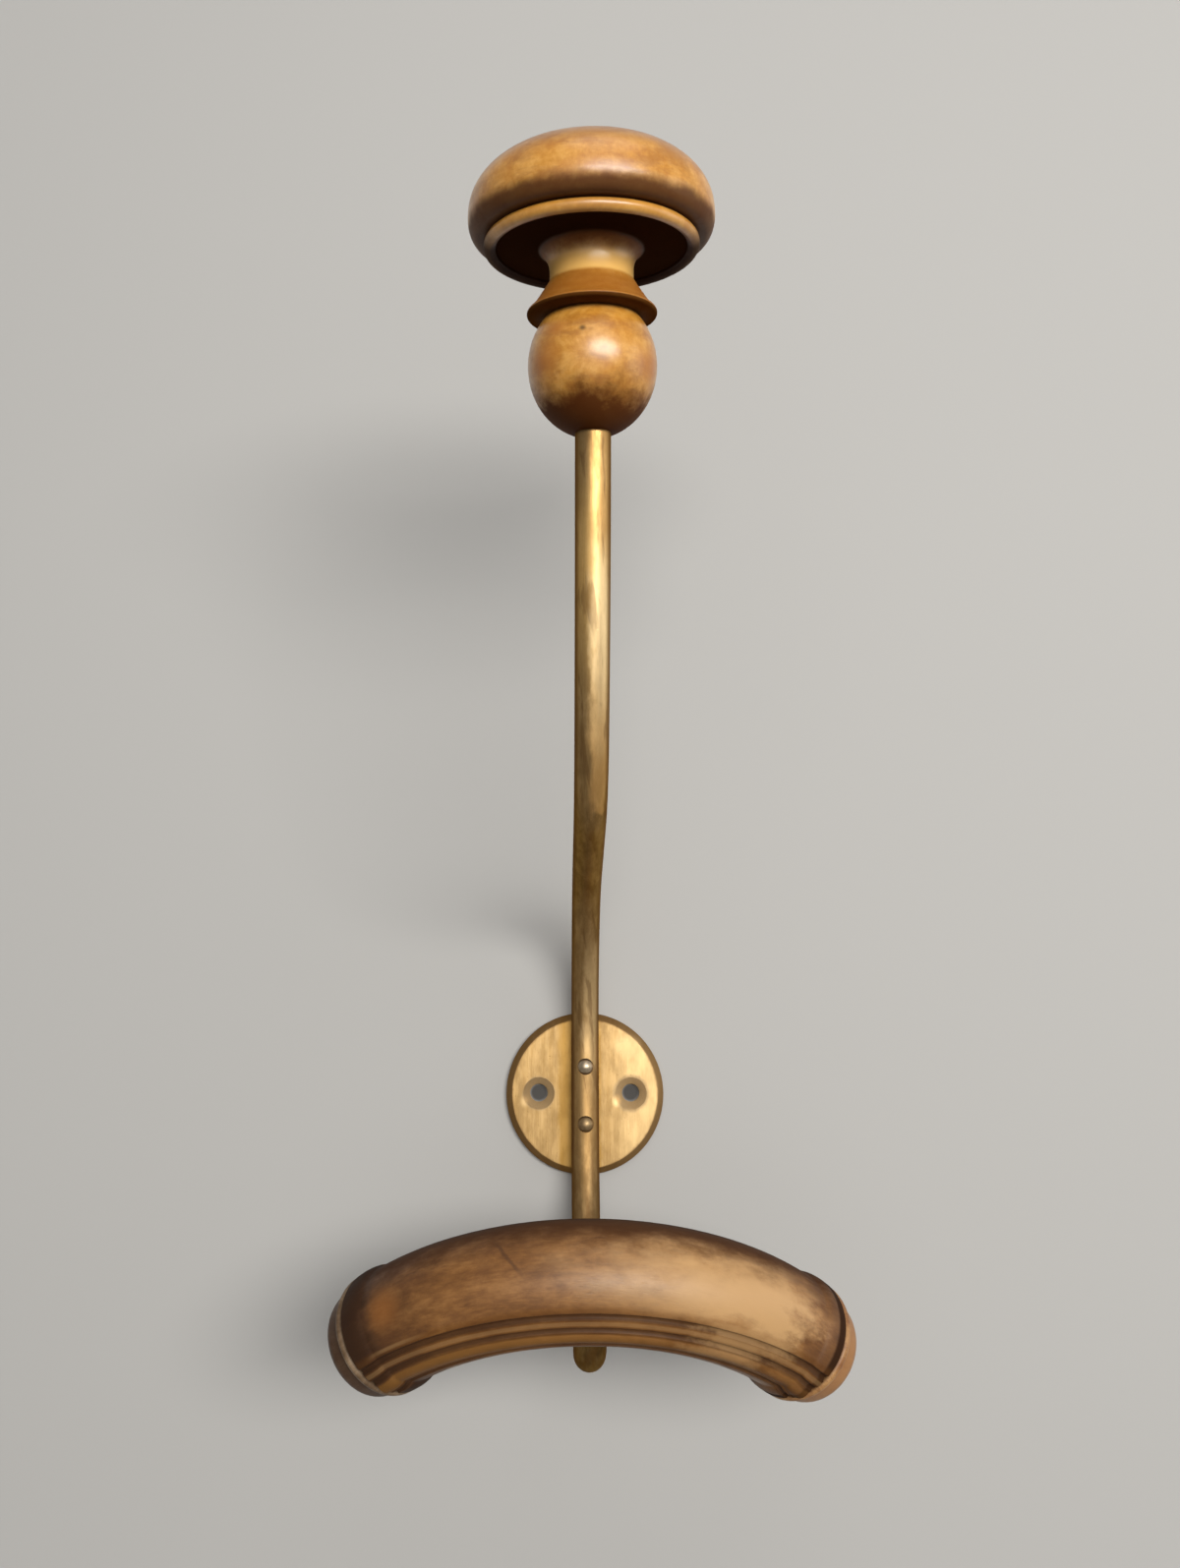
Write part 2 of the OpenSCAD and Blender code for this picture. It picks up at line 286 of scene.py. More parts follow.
def keep_flat(piece: bpy.types.Object, direction: Vector) -> None:
    """Leaves the faces that face along a direction flat, so that rounded edges don't shade them.

    Args:
        piece: The piece, in object mode.
        direction: The direction or its opposite.
    """
    for face in piece.data.polygons:
        if abs(face.normal.dot(direction)) > 0.9999:
            face.use_smooth = False


def finish_piece(
    piece: bpy.types.Object, node: str, material: bpy.types.Material, angle: float
) -> None:
    """Smooths a piece, gives it its material, and lets it stand for its CAD node.

    Args:
        piece: The piece, in place.
        node: Name of the CAD node.
        material: Its material.
        angle: Edges sharper than this stay sharp.
    """
    pick(piece)
    bpy.ops.object.shade_smooth_by_angle(angle=math.radians(angle))
    piece.data.materials.clear()
    piece.data.materials.append(material)
    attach(piece, BODY)
    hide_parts(node)
    LOG.info("%s: %d faces, material %s", piece.name, len(piece.data.polygons), material.name)


# Node trees


@dataclass
class Bench:
    """A node tree on the bench, with short ways to add and join its nodes."""

    tree: bpy.types.NodeTree

    def feed(self, socket: bpy.types.NodeSocket, value: Any) -> None:
        """Joins a socket to another one, or sets its plain value.

        Args:
            socket: The input socket.
            value: An output socket or a plain value.
        """
        if isinstance(value, bpy.types.NodeSocket):
            self.tree.links.new(value, socket)
        else:
            socket.default_value = value

    def add(self, kind: str, inputs: dict[Any, Any] | None = None, **settings: Any) -> bpy.types.Node:
        """Adds a node.

        Args:
            kind: The node's type.
            inputs: Sockets or values by input name or number.
            settings: The node's own settings.

        Returns:
            The node.
        """
        node = self.tree.nodes.new(kind)
        for key, value in settings.items():
            setattr(node, key, value)
        for key, value in (inputs or {}).items():
            self.feed(node.inputs[key], value)
        return node

    def math(self, operation: str, first: Any, second: Any = 0.0, clamp: bool = False) -> Any:
        """Returns the result of a Math node."""
        node = self.add("ShaderNodeMath", {0: first, 1: second}, operation=operation, use_clamp=clamp)
        return node.outputs[0]

    def plus(self, first: Any, second: Any) -> Any:
        """Returns the sum of two values."""
        return self.math("ADD", first, second)

    def minus(self, first: Any, second: Any) -> Any:
        """Returns the difference of two values."""
        return self.math("SUBTRACT", first, second)

    def times(self, first: Any, second: Any) -> Any:
        """Returns the product of two values, or where both of two masks are."""
        return self.math("MULTIPLY", first, second)

    def place(self) -> Any:
        """Returns the socket of the place in the piece's own straight frame."""
        return self.add("ShaderNodeAttribute", attribute_name=PLACE).outputs["Vector"]

    def split(self, vector: bpy.types.NodeSocket) -> Sequence[bpy.types.NodeSocket]:
        """Returns the three parts of a vector."""
        return self.add("ShaderNodeSeparateXYZ", {0: vector}).outputs

    def join(self, x: Any = 0.0, y: Any = 0.0, z: Any = 0.0) -> Any:
        """Returns a vector made of three values."""
        return self.add("ShaderNodeCombineXYZ", {0: x, 1: y, 2: z}).outputs[0]

    def length(self, vector: Any) -> Any:
        """Returns the length of a vector."""
        return self.add("ShaderNodeVectorMath", {0: vector}, operation="LENGTH").outputs["Value"]

    def scaled(self, vector: Any, scale: Sequence[float], shift: Sequence[float] = (0, 0, 0)) -> Any:
        """Returns a vector, scaled by axis and then shifted."""
        node = self.add("ShaderNodeMapping", {"Vector": vector, "Scale": scale, "Location": shift})
        return node.outputs[0]

    def noise(
        self,
        vector: Any,
        scale: Sequence[float],
        detail: float,
        rough: float = 0.5,
        twist: float = 0,
        shift: Sequence[float] = (0, 0, 0),
    ) -> Any:
        """Adds a noise texture.

        Args:
            vector: The vector that it reads.
            scale: Its scale by axis, per metre.
            detail: Its number of finer layers.
            rough: How strong these are.
            twist: How far it is distorted.
            shift: Moves it, so that no two patterns agree.

        Returns:
            Its grey value.
        """
        place = self.scaled(vector, scale, shift)
        values = {"Vector": place, "Scale": 1.0, "Detail": detail, "Roughness": rough, "Distortion": twist}
        return self.add("ShaderNodeTexNoise", values).outputs[0]

    def drift(self, vector: Any, scale: Sequence[float], rough: float, detail: float = 5) -> Any:
        """Returns a wandering value, half of it below 0, that makes the edges of marks uneven."""
        return self.minus(self.noise(vector, scale, detail, rough), 0.5)

    def drifted(self, value: Any, drift: Any, reach: float) -> Any:
        """Returns a value shifted by a share of a wandering one."""
        return self.plus(value, self.times(drift, reach))

    def window(self, value: Any, low: float, high: float, out_low: float = 0, out_high: float = 1) -> Any:
        """Returns a value mapped smoothly from one range to another, and clamped."""
        values = {"Value": value, 1: low, 2: high, 3: out_low, 4: out_high}
        return self.add("ShaderNodeMapRange", values, interpolation_type="SMOOTHSTEP").outputs[0]

    def fall(self, value: Any, fade: float, end: float) -> Any:
        """Returns a mask that falls from 1 at fade to 0 at end."""
        return self.window(value, fade, end, 1, 0)

    def band(self, value: Any, start: float, full: float, fade: float, end: float) -> Any:
        """Returns a mask that rises from start to full and falls from fade to end."""
        rise = self.window(value, start, full)
        return self.times(rise, self.fall(value, fade, end))

    def mix(self, factor: Any, first: Any, second: Any) -> Any:
        """Mixes two colours.

        Args:
            factor: Share of the second colour.
            first: The first colour.
            second: The second colour.

        Returns:
            The colour socket.
        """
        node = self.add("ShaderNodeMix", data_type="RGBA")
        # A Mix node's colours are its inputs 6 and 7 and its output 2
        self.feed(node.inputs[0], factor)
        for number, colour in ((6, first), (7, second)):
            plain = isinstance(colour, tuple) and len(colour) == 3
            self.feed(node.inputs[number], rgba(colour) if plain else colour)
        return node.outputs[2]

    def ramp(self, value: Any, stops: Sequence[tuple[float, Colour]]) -> Any:
        """Returns a colour ramp's colour.

        Args:
            value: The value that it reads, from 0 to 1.
            stops: Its stops as (position, colour), in order.

        Returns:
            The colour socket.
        """
        node = self.add("ShaderNodeValToRGB", {0: value})
        ramp = node.color_ramp
        while len(ramp.elements) < len(stops):
            ramp.elements.new(0.5)
        for element, (position, _) in zip(ramp.elements, stops):
            element.position = position
        for element, (_, colour) in zip(ramp.elements, stops):
            element.color = rgba(colour)
        return node.outputs[0]

    def spot(self, place: Any, centre: Sequence[float], size: Sequence[float], soft: float = 0.6) -> Any:
        """Returns a soft mask that is 1 inside an ellipsoid and 0 outside it.

        Args:
            place: The vector that it reads.
            centre: Middle of the ellipsoid.
            size: Its three half sizes.
            soft: Share of its radius over which it fades.

        Returns:
            The mask socket.
        """
        shift = [-c / s for c, s in zip(centre, size)]
        local = self.scaled(place, [1 / s for s in size], shift)
        return self.fall(self.length(local), 1 - soft, 1)

    def bump(self, height: Any, strength: float, depth: float) -> Any:
        """Returns the normal of a surface roughened by a height from 0 to 1."""
        node = self.add("ShaderNodeBump", {"Strength": strength, "Distance": depth, "Height": height})
        return node.outputs[0]

    def seen(self) -> Any:
        """Tells the rays that show the background from those that light the object.

        Returns:
            1 for a ray that shows it, and 0 for the rest.
        """
        rays = self.add("ShaderNodeLightPath").outputs
        shown = self.math("MAXIMUM", rays["Is Camera Ray"], rays["Is Glossy Ray"])
        return self.math("MAXIMUM", shown, rays["Is Transmission Ray"])


def new_group(
    name: str, inputs: dict[str, tuple[str, Any]], outputs: Sequence[str]
) -> tuple[Bench, Any, Any]:
    """Starts a node group.

    Args:
        name: Its name.
        inputs: Its inputs as name to (socket type, default value).
        outputs: Names of its outputs, which are all plain values.

    Returns:
        Its bench, its input node and its output node.
    """
    tree = bpy.data.node_groups.new(name, "ShaderNodeTree")
    for label, (kind, default) in inputs.items():
        socket = tree.interface.new_socket(label, in_out="INPUT", socket_type=kind)
        if default is not None:
            socket.default_value = default
    for label in outputs:
        tree.interface.new_socket(label, in_out="OUTPUT", socket_type="NodeSocketFloat")
    bench = Bench(tree)
    return bench, bench.add("NodeGroupInput"), bench.add("NodeGroupOutput")


VECTOR = ("NodeSocketVector", None)
# Names of the shared node groups
OLD_WOOD = "old_wood"
OLD_BRASS = "old_brass"


def wood_group() -> bpy.types.NodeTree:
    """Builds the group for old polished wood, whose grain runs along X.

    Returns:
        The group. Figure is the broad light and dark of the grain, Pores the fine dark flecks,
        Blotch the uneven stain, and Wear the worn and scuffed places.
    """
    inputs = {"Place": VECTOR, "Fineness": ("NodeSocketFloat", 1.0)}
    bench, given, out = new_group(OLD_WOOD, inputs, ("Figure", "Pores", "Blotch", "Wear"))
    sized = bench.add("ShaderNodeVectorMath", {0: given.outputs[0]}, operation="SCALE")
    bench.feed(sized.inputs["Scale"], given.outputs[1])
    place = sized.outputs[0]
    wander = bench.times(bench.noise(place, (45, 70, 70), 2), 0.005)
    aside = bench.join(y=wander, z=wander)
    bent = bench.add("ShaderNodeVectorMath", {0: place, 1: aside}, operation="ADD").outputs[0]
    figure = bench.noise(bent, (70, 260, 260), 4, 0.6, 0.4)
    fine = bench.noise(bent, (260, 1500, 1500), 3, 0.6)
    mottle = bench.noise(place, (330, 480, 480), 5, 0.68, shift=(2, 6, 4))
    broad = bench.plus(bench.times(figure, 0.5), bench.times(mottle, 0.3))
    both = bench.plus(broad, bench.times(fine, 0.2))
    bench.feed(out.inputs["Figure"], bench.window(both, 0.34, 0.66))
    flecks = bench.noise(place, (420, 3600, 3600), 2, 0.5)
    bench.feed(out.inputs["Pores"], bench.window(flecks, 0.58, 0.72))
    blotch = bench.noise(place, (95, 120, 120), 6, 0.66, 0.3, shift=(3, 1, 7))
    bench.feed(out.inputs["Blotch"], bench.window(blotch, 0.44, 0.66))
    scuff = bench.noise(place, (170, 300, 300), 6, 0.7, 0.3, shift=(8, 2, 5))
    bench.feed(out.inputs["Wear"], bench.window(scuff, 0.5, 0.75))
    return bench.tree


def brass_group() -> bpy.types.NodeTree:
    """Builds the group for old brass that was drawn or brushed along Z.

    Returns:
        The group. Streaks are the fine lines of drawing or brushing, Tarnish the dark patches,
        Specks the small pits and spots, and Scratches the fine bright cuts.
    """
    outputs = ("Streaks", "Tarnish", "Specks", "Scratches")
    bench, given, out = new_group(OLD_BRASS, {"Place": VECTOR}, outputs)
    place = given.outputs[0]
    broad = bench.noise(place, (900, 900, 55), 4, 0.6)
    fine = bench.noise(place, (4200, 4200, 150), 3, 0.6)
    lines = bench.plus(bench.times(broad, 0.55), bench.times(fine, 0.45))
    bench.feed(out.inputs["Streaks"], bench.window(lines, 0.32, 0.68))
    patches = bench.noise(place, (280, 280, 110), 6, 0.66, shift=(4, 9, 2))
    bench.feed(out.inputs["Tarnish"], bench.window(patches, 0.36, 0.66))
    specks = bench.noise(place, (1500, 1500, 1100), 3, 0.6, shift=(7, 3, 1))
    bench.feed(out.inputs["Specks"], bench.window(specks, 0.62, 0.74))
    cuts = bench.noise(place, (2600, 2600, 60), 2, 0.5, 1.2, shift=(1, 5, 9))
    bench.feed(out.inputs["Scratches"], bench.window(cuts, 0.66, 0.74))
    return bench.tree


def shared_group(name: str, build: Callable[[], bpy.types.NodeTree]) -> bpy.types.NodeTree:
    """Returns the node group of a name, built the first time that a finish needs it."""
    return bpy.data.node_groups.get(name) or build()


def new_material(name: str) -> tuple[bpy.types.Material, Bench, bpy.types.Node]:
    """Starts a material.

    Args:
        name: Its name.

    Returns:
        The material, its bench and its Principled BSDF.
    """
    material = bpy.data.materials.new(name)
    material.use_nodes = True
    shader = material.node_tree.nodes["Principled BSDF"]
    return material, Bench(material.node_tree), shader


@dataclass
class Paint:
    """The colour of a finish and its mattness from 0 to 1, into which a piece's own marks are painted."""

    bench: Bench
    place: Any
    colour: Any
    matt: Any = 0.0

    def lay(self, mask: Any, colour: Any, share: float = 1.0, matt: float = 0.0) -> None:
        """Paints a colour over part of the piece.

        Args:
            mask: Where it goes.
            colour: The colour.
            share: How much of it covers what is below.
            matt: How matt the piece is there.
        """
        self.colour = self.bench.mix(self.bench.times(mask, share), self.colour, colour)
        if matt > 0:
            self.matt = self.bench.math("MAXIMUM", self.matt, self.bench.times(mask, matt))


Tint = Callable[[Paint], None]


@dataclass(frozen=True)
class WoodFinish:
    """Stained and polished wood, in the colours of one piece."""

    name: str
    light: Colour
    middle: Colour
    dark: Colour
    stain: Colour
    fineness: float = 1.0
    blotch: float = 0.6
    pores: float = 0.5
    # How much longer the grain is than wide
    grain: float = 1.0
    gloss: float = 0.36
    coat: float = 0.3
    coat_gloss: float = 0.3
    shine: float = 0.5
    relief: float = 0.2
    relief_depth: float = 0.00012
    # Turns the piece's own frame so that its grain runs along X
    grain_turn: tuple[float, float, float] = (0, 0, 0)
    # How much rougher worn, stained and matt places are
    worn_rough: float = 0.16
    stain_rough: float = 0.06
    matt_rough: float = 0.5
    # Heights of the grain and of worn places, beside a depth of 1 for the pores
    grain_rise: float = 0.5
    worn_sink: float = 0.4

    def build(self, tint: Tint) -> bpy.types.Material:
        """Makes the material.

        Args:
            tint: Paints the piece's own marks.

        Returns:
            The material.
        """
        material, bench, shader = new_material(self.name)
        place = bench.place()
        turn = [math.radians(a) for a in self.grain_turn]
        turned_place = bench.add("ShaderNodeMapping", {"Vector": place, "Rotation": turn}).outputs[0]
        wood = bench.add("ShaderNodeGroup", node_tree=shared_group(OLD_WOOD, wood_group))
        bench.feed(wood.inputs["Place"], bench.scaled(turned_place, (1 / self.grain, 1, 1)))
        bench.feed(wood.inputs["Fineness"], self.fineness)
        figure, pores, blotch, wear = wood.outputs
        stops = [(0.0, self.dark), (0.5, self.middle), (1.0, self.light)]
        paint = Paint(bench, place, bench.ramp(figure, stops))
        paint.lay(blotch, self.stain, self.blotch)
        paint.lay(pores, self.dark, self.pores)
        tint(paint)
        bench.feed(shader.inputs["Base Color"], paint.colour)
        rough = bench.plus(bench.times(wear, self.worn_rough), self.gloss)
        rough = bench.plus(rough, bench.times(blotch, self.stain_rough))
        rough = bench.math("ADD", rough, bench.times(paint.matt, self.matt_rough), clamp=True)
        bench.feed(shader.inputs["Roughness"], rough)
        bare = bench.math("SUBTRACT", 1.0, paint.matt, clamp=True)
        bench.feed(shader.inputs["Coat Weight"], bench.times(bare, self.coat))
        shader.inputs["Coat Roughness"].default_value = self.coat_gloss
        bench.feed(shader.inputs["Specular IOR Level"], bench.times(bare, self.shine))
        height = bench.minus(bench.times(figure, self.grain_rise), pores)
        height = bench.minus(height, bench.times(wear, self.worn_sink))
        bench.feed(shader.inputs["Normal"], bench.bump(height, self.relief, self.relief_depth))
        return material


@dataclass(frozen=True)
class BrassFinish:
    """Old brass, in the colours of one piece."""

    name: str
    bright: Colour
    middle: Colour
    tarnish: Colour
    # How grazing light is coloured
    edge: Colour = (0.6, 0.46, 0.3)
    gloss: float = 0.34
    tarnish_share: float = 0.6
    speck_share: float = 0.6
    scratch_share: float = 0.35
    relief: float = 0.3
    relief_depth: float = 0.00006
    # How much rougher dull, streaked and matt places are
    dull_rough: float = 0.16
    streak_rough: float = 0.05
    matt_rough: float = 0.4
    # Heights of the streaks, and depths of the specks and scratches
    streak_rise: float = 0.6
    speck_sink: float = 0.8
    scratch_sink: float = 0.5

    def build(self, tint: Tint) -> bpy.types.Material:
        """Makes the material.

        Args:
            tint: Paints the piece's own marks.

        Returns:
            The material.
        """
        material, bench, shader = new_material(self.name)
        place = bench.place()
        brass = bench.add("ShaderNodeGroup", node_tree=shared_group(OLD_BRASS, brass_group))
        bench.feed(brass.inputs["Place"], place)
        streaks, patches, specks, scratches = brass.outputs
        paint = Paint(bench, place, bench.mix(streaks, self.middle, self.bright))
        dull = bench.times(patches, self.tarnish_share)
        dull = bench.math("MAXIMUM", dull, bench.times(specks, self.speck_share))
        paint.lay(dull, self.tarnish)
        paint.lay(scratches, self.bright, self.scratch_share)
        tint(paint)
        bench.feed(shader.inputs["Base Color"], paint.colour)
        shader.inputs["Metallic"].default_value = 1.0
        shader.inputs["Specular Tint"].default_value = rgba(self.edge)
        rough = bench.plus(bench.times(dull, self.dull_rough), self.gloss)
        rough = bench.plus(rough, bench.times(streaks, self.streak_rough))
        rough = bench.math("ADD", rough, bench.times(paint.matt, self.matt_rough), clamp=True)
        bench.feed(shader.inputs["Roughness"], rough)
        height = bench.minus(bench.times(streaks, self.streak_rise), bench.times(specks, self.speck_sink))
        height = bench.minus(height, bench.times(scratches, self.scratch_sink))
        bench.feed(shader.inputs["Normal"], bench.bump(height, self.relief, self.relief_depth))
        return material


def plain_tint(paint: Paint) -> None:
    """Leaves a finish as it is."""


# The rod's path, which also places the knob and the arch


@dataclass(frozen=True)
class Pose:
    """A place on the rod's middle line: distance from the wall, height, and heading."""

    out: float
    up: float
    heading: float

    def point(self) -> Vector:
        """Returns the place as a point."""
        return Vector((0, -self.out, self.up))

    def matrix(self) -> Matrix:
        """Returns the matrix that puts a piece here, with its +Z along the rod."""
        return Matrix.Translation(self.point()) @ rotation(90 - self.heading, "X")


@dataclass(frozen=True)
class Stretch:
    """A straight, whose turn is 0 and size its length, or a bend, whose size is its radius."""

    size: float
    turn: float = 0

    def length(self) -> float:
        """Returns the stretch's length along the rod's middle."""
        return self.size if self.turn == 0 else self.size * math.radians(abs(self.turn))

    def centre(self, pose: Pose) -> Pose:
        """Returns the middle of a bend.

        Args:
            pose: Where the bend starts.

        Returns:
            Its middle, with the heading of its start.
        """
        side = math.copysign(self.size, self.turn)
        a = math.radians(pose.heading)
        return Pose(pose.out - side * math.sin(a), pose.up + side * math.cos(a), pose.heading)

    def after(self, pose: Pose, share: float = 1.0) -> Pose:
        """Returns the pose after some share of the stretch.

        Args:
            pose: Where the stretch starts.
            share: Share of the stretch, from 0 to 1.

        Returns:
            The pose there.
        """
        a = math.radians(pose.heading)
        if self.turn == 0:
            step = self.size * share
            return Pose(pose.out + step * math.cos(a), pose.up + step * math.sin(a), pose.heading)
        side = math.copysign(self.size, self.turn)
        mid = self.centre(pose)
        heading = pose.heading + self.turn * share
        b = math.radians(heading)
        return Pose(mid.out + side * math.sin(b), mid.up - side * math.cos(b), heading)


@dataclass(frozen=True)
class RodPath:
    """The rod's two runs from the straight on the plate: up to the knob and down to the arch."""

    knob_out: float = 0.1197
    knob_up: float = 0.1509
    rod_out: float = 0.0065
    seat_len: float = 0.022
    sweep: Stretch = Stretch(0.052, -74)
    rise: Stretch = Stretch(0.034, 47)
    ease: Stretch = Stretch(0.225, 14)
    drop: Stretch = Stretch(0.0552, 53.4)
    hook: Stretch = Stretch(0.024, 80.2)
    tip: Stretch = Stretch(0.0263)

    def upper_start(self) -> Pose:
        """Returns where the upper run starts."""
        return Pose(self.rod_out, self.seat_len / 2, 90)

    def lower_start(self) -> Pose:
        """Returns where the lower run starts."""
        return Pose(self.rod_out, -self.seat_len / 2, -90)

    def upper(self) -> list[Stretch]:
        """Works out the upper run, whose two straights are just long enough to reach the knob.

        Returns:
            Its stretches.
        """
        bends = [self.sweep, self.rise, self.ease]
        end = self.upper_start()
        for bend in bends:
            end = bend.after(end)
        slant, stem = (math.radians(h) for h in (90 + self.sweep.turn, end.heading))
        left = (self.knob_out - end.out, self.knob_up - end.up)
        across = math.sin(stem - slant)
        slant_len = (left[0] * math.sin(stem) - left[1] * math.cos(stem)) / across
        stem_len = (left[1] * math.cos(slant) - left[0] * math.sin(slant)) / across
        return [self.sweep, Stretch(slant_len), self.rise, self.ease, Stretch(stem_len)]

    def lower(self) -> list[Stretch]:
        """Returns the lower run."""
        return [self.drop, self.hook, self.tip]

    def knob_pose(self) -> Pose:
        """Follows the upper run to its end.

        Returns:
            Where the rod enters the knob.
        """
        pose = self.upper_start()
        for stretch in self.upper():
            pose = stretch.after(pose)
        return pose

    def arch_pose(self) -> Pose:
        """Follows the lower run to its end.

        Returns:
            The middle of the arch's bar.
        """
        pose = self.lower_start()
        for stretch in self.lower():
            pose = stretch.after(pose)
        return pose

    def samples(self, spacing: float = 0.0005) -> list[tuple[Vector, Vector, Vector, float]]:
        """Lists places along the rod's middle.

        Args:
            spacing: About how far apart they are.

        Returns:
            Rows of (point, direction up the rod, outward side, distance up from the plate's middle).
        """
        rows = [(Vector((0, -self.rod_out, 0)), Vector((0, 0, 1)), Vector((0, -1, 0)), 0.0)]
        runs = ((1, self.upper_start(), self.upper()), (-1, self.lower_start(), self.lower()))
        for way, pose, run in runs:
            gone = self.seat_len / 2
            for stretch in run:
                count = max(2, round(stretch.length() / spacing))
                for i in range(count + 1):
                    here = stretch.after(pose, i / count)
                    a = math.radians(here.heading)
                    direction = way * Vector((0, -math.cos(a), math.sin(a)))
                    outward = way * Vector((0, -math.sin(a), -math.cos(a)))
                    distance = way * (gone + stretch.length() * i / count)
                    rows.append((here.point(), direction, outward, distance))
                pose = stretch.after(pose)
                gone += stretch.length()
        return rows


# The pieces


@dataclass
class WallPlate:
    """Round brass plate with a sloping rim and two countersunk screw holes."""

    finish: BrassFinish
    radius: float = 0.0233
    thickness: float = PLATE_T
    rim_width: float = 0.0018
    rim_edge: float = 0.0014
    screw_spacing: float = SCREW_SPACING
    screw_r: float = 0.0026
    sink_r: float = 0.0046
    rivet_spacing: float = RIVET_SPACING
    rivet_r: float = 0.00165
    rivet_foot_r: float = 0.00285
    edge_round: float = 0.00014
    # How far the cutters reach past the plate
    cutter_past: float = 0.001
    painted_rod_shadow: Colour = srgb(150, 114, 52)
    pale: Colour = srgb(248, 216, 160)
    brown: Colour = srgb(116, 84, 50)
    grey: Colour = srgb(200, 178, 140)

    def blank(self) -> bpy.types.Object:
        """Makes the plate without its holes.

        Returns:
            The plate, with its back on the XY plane and its face up.
        """
        deselect()
        bpy.ops.mesh.primitive_circle_add(vertices=144, radius=self.radius, fill_type="NGON")
        plate = bpy.context.object
        plate.name = "wall_plate_brass"
        bpy.ops.object.mode_set(mode="EDIT")
        shrink = (self.radius - self.rim_width) / self.radius
        for rise, scale in ((self.rim_edge, 1.0), (self.thickness - self.rim_edge, shrink)):
            bpy.ops.mesh.extrude_region_move(TRANSFORM_OT_translate={"value": (0, 0, rise)})
            bpy.ops.transform.resize(value=(scale, scale, 1), center_override=(0, 0, 0))
        close_mesh()
        return plate

    def screw_cutter(self) -> bpy.types.Object:
        """Makes the cutter of a countersunk screw hole.

        Returns:
            The cutter, with its middle line on the Z axis.
        """
        past = self.cutter_past
        sink = self.sink_r - self.screw_r
        top = self.thickness
        outline = [
            (0, -past),
            (self.screw_r, -past),
            (self.screw_r, top - sink),
            (self.sink_r + past, top + past),
            (0, top + past),
        ]
        return turned("screw_cutter", outline, 64)

    def rivet_cutter(self) -> bpy.types.Object:
        """Makes the cutter of a rivet's hole, with room for its foot in the plate's back.

        Returns:
            The cutter, with its middle line on the Z axis.
        """
        past = self.cutter_past
        foot = self.rivet_foot_r - self.rivet_r
        outline = [
            (0, -past),
            (self.rivet_foot_r + past, -past),
            (self.rivet_r, foot),
            (self.rivet_r, self.thickness + past),
            (0, self.thickness + past),
        ]
        return turned("rivet_cutter", outline, 48)

    def build(self) -> None:
        """Makes the plate and stands it on the wall."""
        plate = self.blank()
        for side in Side:
            screw = self.screw_cutter()
            settle(screw, Matrix.Translation((side.value * self.screw_spacing / 2, 0, 0)))
            drill(plate, screw)
            rivet = self.rivet_cutter()
            settle(rivet, Matrix.Translation((0, side.value * self.rivet_spacing / 2, 0)))
            drill(plate, rivet)
        apply_modifier(plate, "BEVEL", width=self.edge_round, segments=2, limit_method="ANGLE")
        settle(plate, rotation(90, "X"))
        note_places(plate, lambda co: co)
        finish_piece(plate, "wall_plate", self.finish.build(self.tint), 30)
        keep_flat(plate, Vector((0, 1, 0)))

    def tint(self, paint: Paint) -> None:
        """Darkens the rim and the sinks, paints the rod's shadow on the strip beside the rod, and paints the
        right side paler and glints at the sinks as painted light.

        Args:
            paint: The finish to paint into.
        """
        bench = paint.bench
        x, _, z = bench.split(paint.place)
        flat = bench.join(x, z=z)
        drift = bench.drift(paint.place, (500, 500, 160), 0.65)
        # Painted shadow of the rod: an olive strip beside it
        strip = bench.band(bench.drifted(x, drift, 0.003), -0.0088, -0.0066, 0.004, 0.0052)
        paint.lay(strip, self.painted_rod_shadow, 0.7)
        # Painted light: the right side of the plate paler
        paint.lay(bench.window(bench.drifted(x, drift, 0.006), 0.006, 0.016), self.pale, 0.3)
        face_r = self.radius - self.rim_width
        gone = bench.drifted(bench.length(flat), drift, 0.0012)
        paint.lay(bench.window(gone, face_r - 0.0006, face_r + 0.0004), self.brown, 0.7, 0.3)
        for side, reach in ((Side.LEFT, 0.0007), (Side.RIGHT, 0.0014)):
            shift = bench.scaled(flat, (1, 1, 1), (-side.value * self.screw_spacing / 2, 0, 0))
            gone = bench.drifted(bench.length(shift), drift, 0.0016)
            ring = bench.fall(gone, self.sink_r - 0.0006, self.sink_r + reach)
            paint.lay(ring, self.grey, 0.75, 0.9)
            # Painted glint at the lower left of each sink
            glint = bench.spot(shift, (-0.0042, 0, -0.0022), (0.0018, 0.01, 0.0024), 0.9)
            paint.lay(glint, self.pale, 0.8 if side is Side.RIGHT else 0.4)
        patch = bench.spot(paint.place, (0.0125, 0, 0.0135), (0.0055, 0.01, 0.0045), 0.9)
        paint.lay(patch, self.pale, 0.7, 0.3)


# Tones for the rod's marks: tarnish that also serves as painted shade, worn brass that also serves as painted
# sheen, and a pale tone for painted highlights
TARNISH_AND_SHADE = srgb(56, 42, 28)
WORN_AND_SHEEN_BRASS = srgb(204, 160, 98)
PAINTED_HIGHLIGHT_BRASS = srgb(250, 220, 166)


@dataclass(frozen=True)
class RodMark:
    """A stretch of the rod painted darker or paler than the rest, for tarnish and wear and for painted shade
    and highlights on its left and right.
    """

    # Where it starts, is full, fades and ends, as distances up the rod from the plate's middle
    reach: tuple[float, float, float, float]
    colour: Colour
    # How strong it is on the rod's left and right
    left: float
    right: float


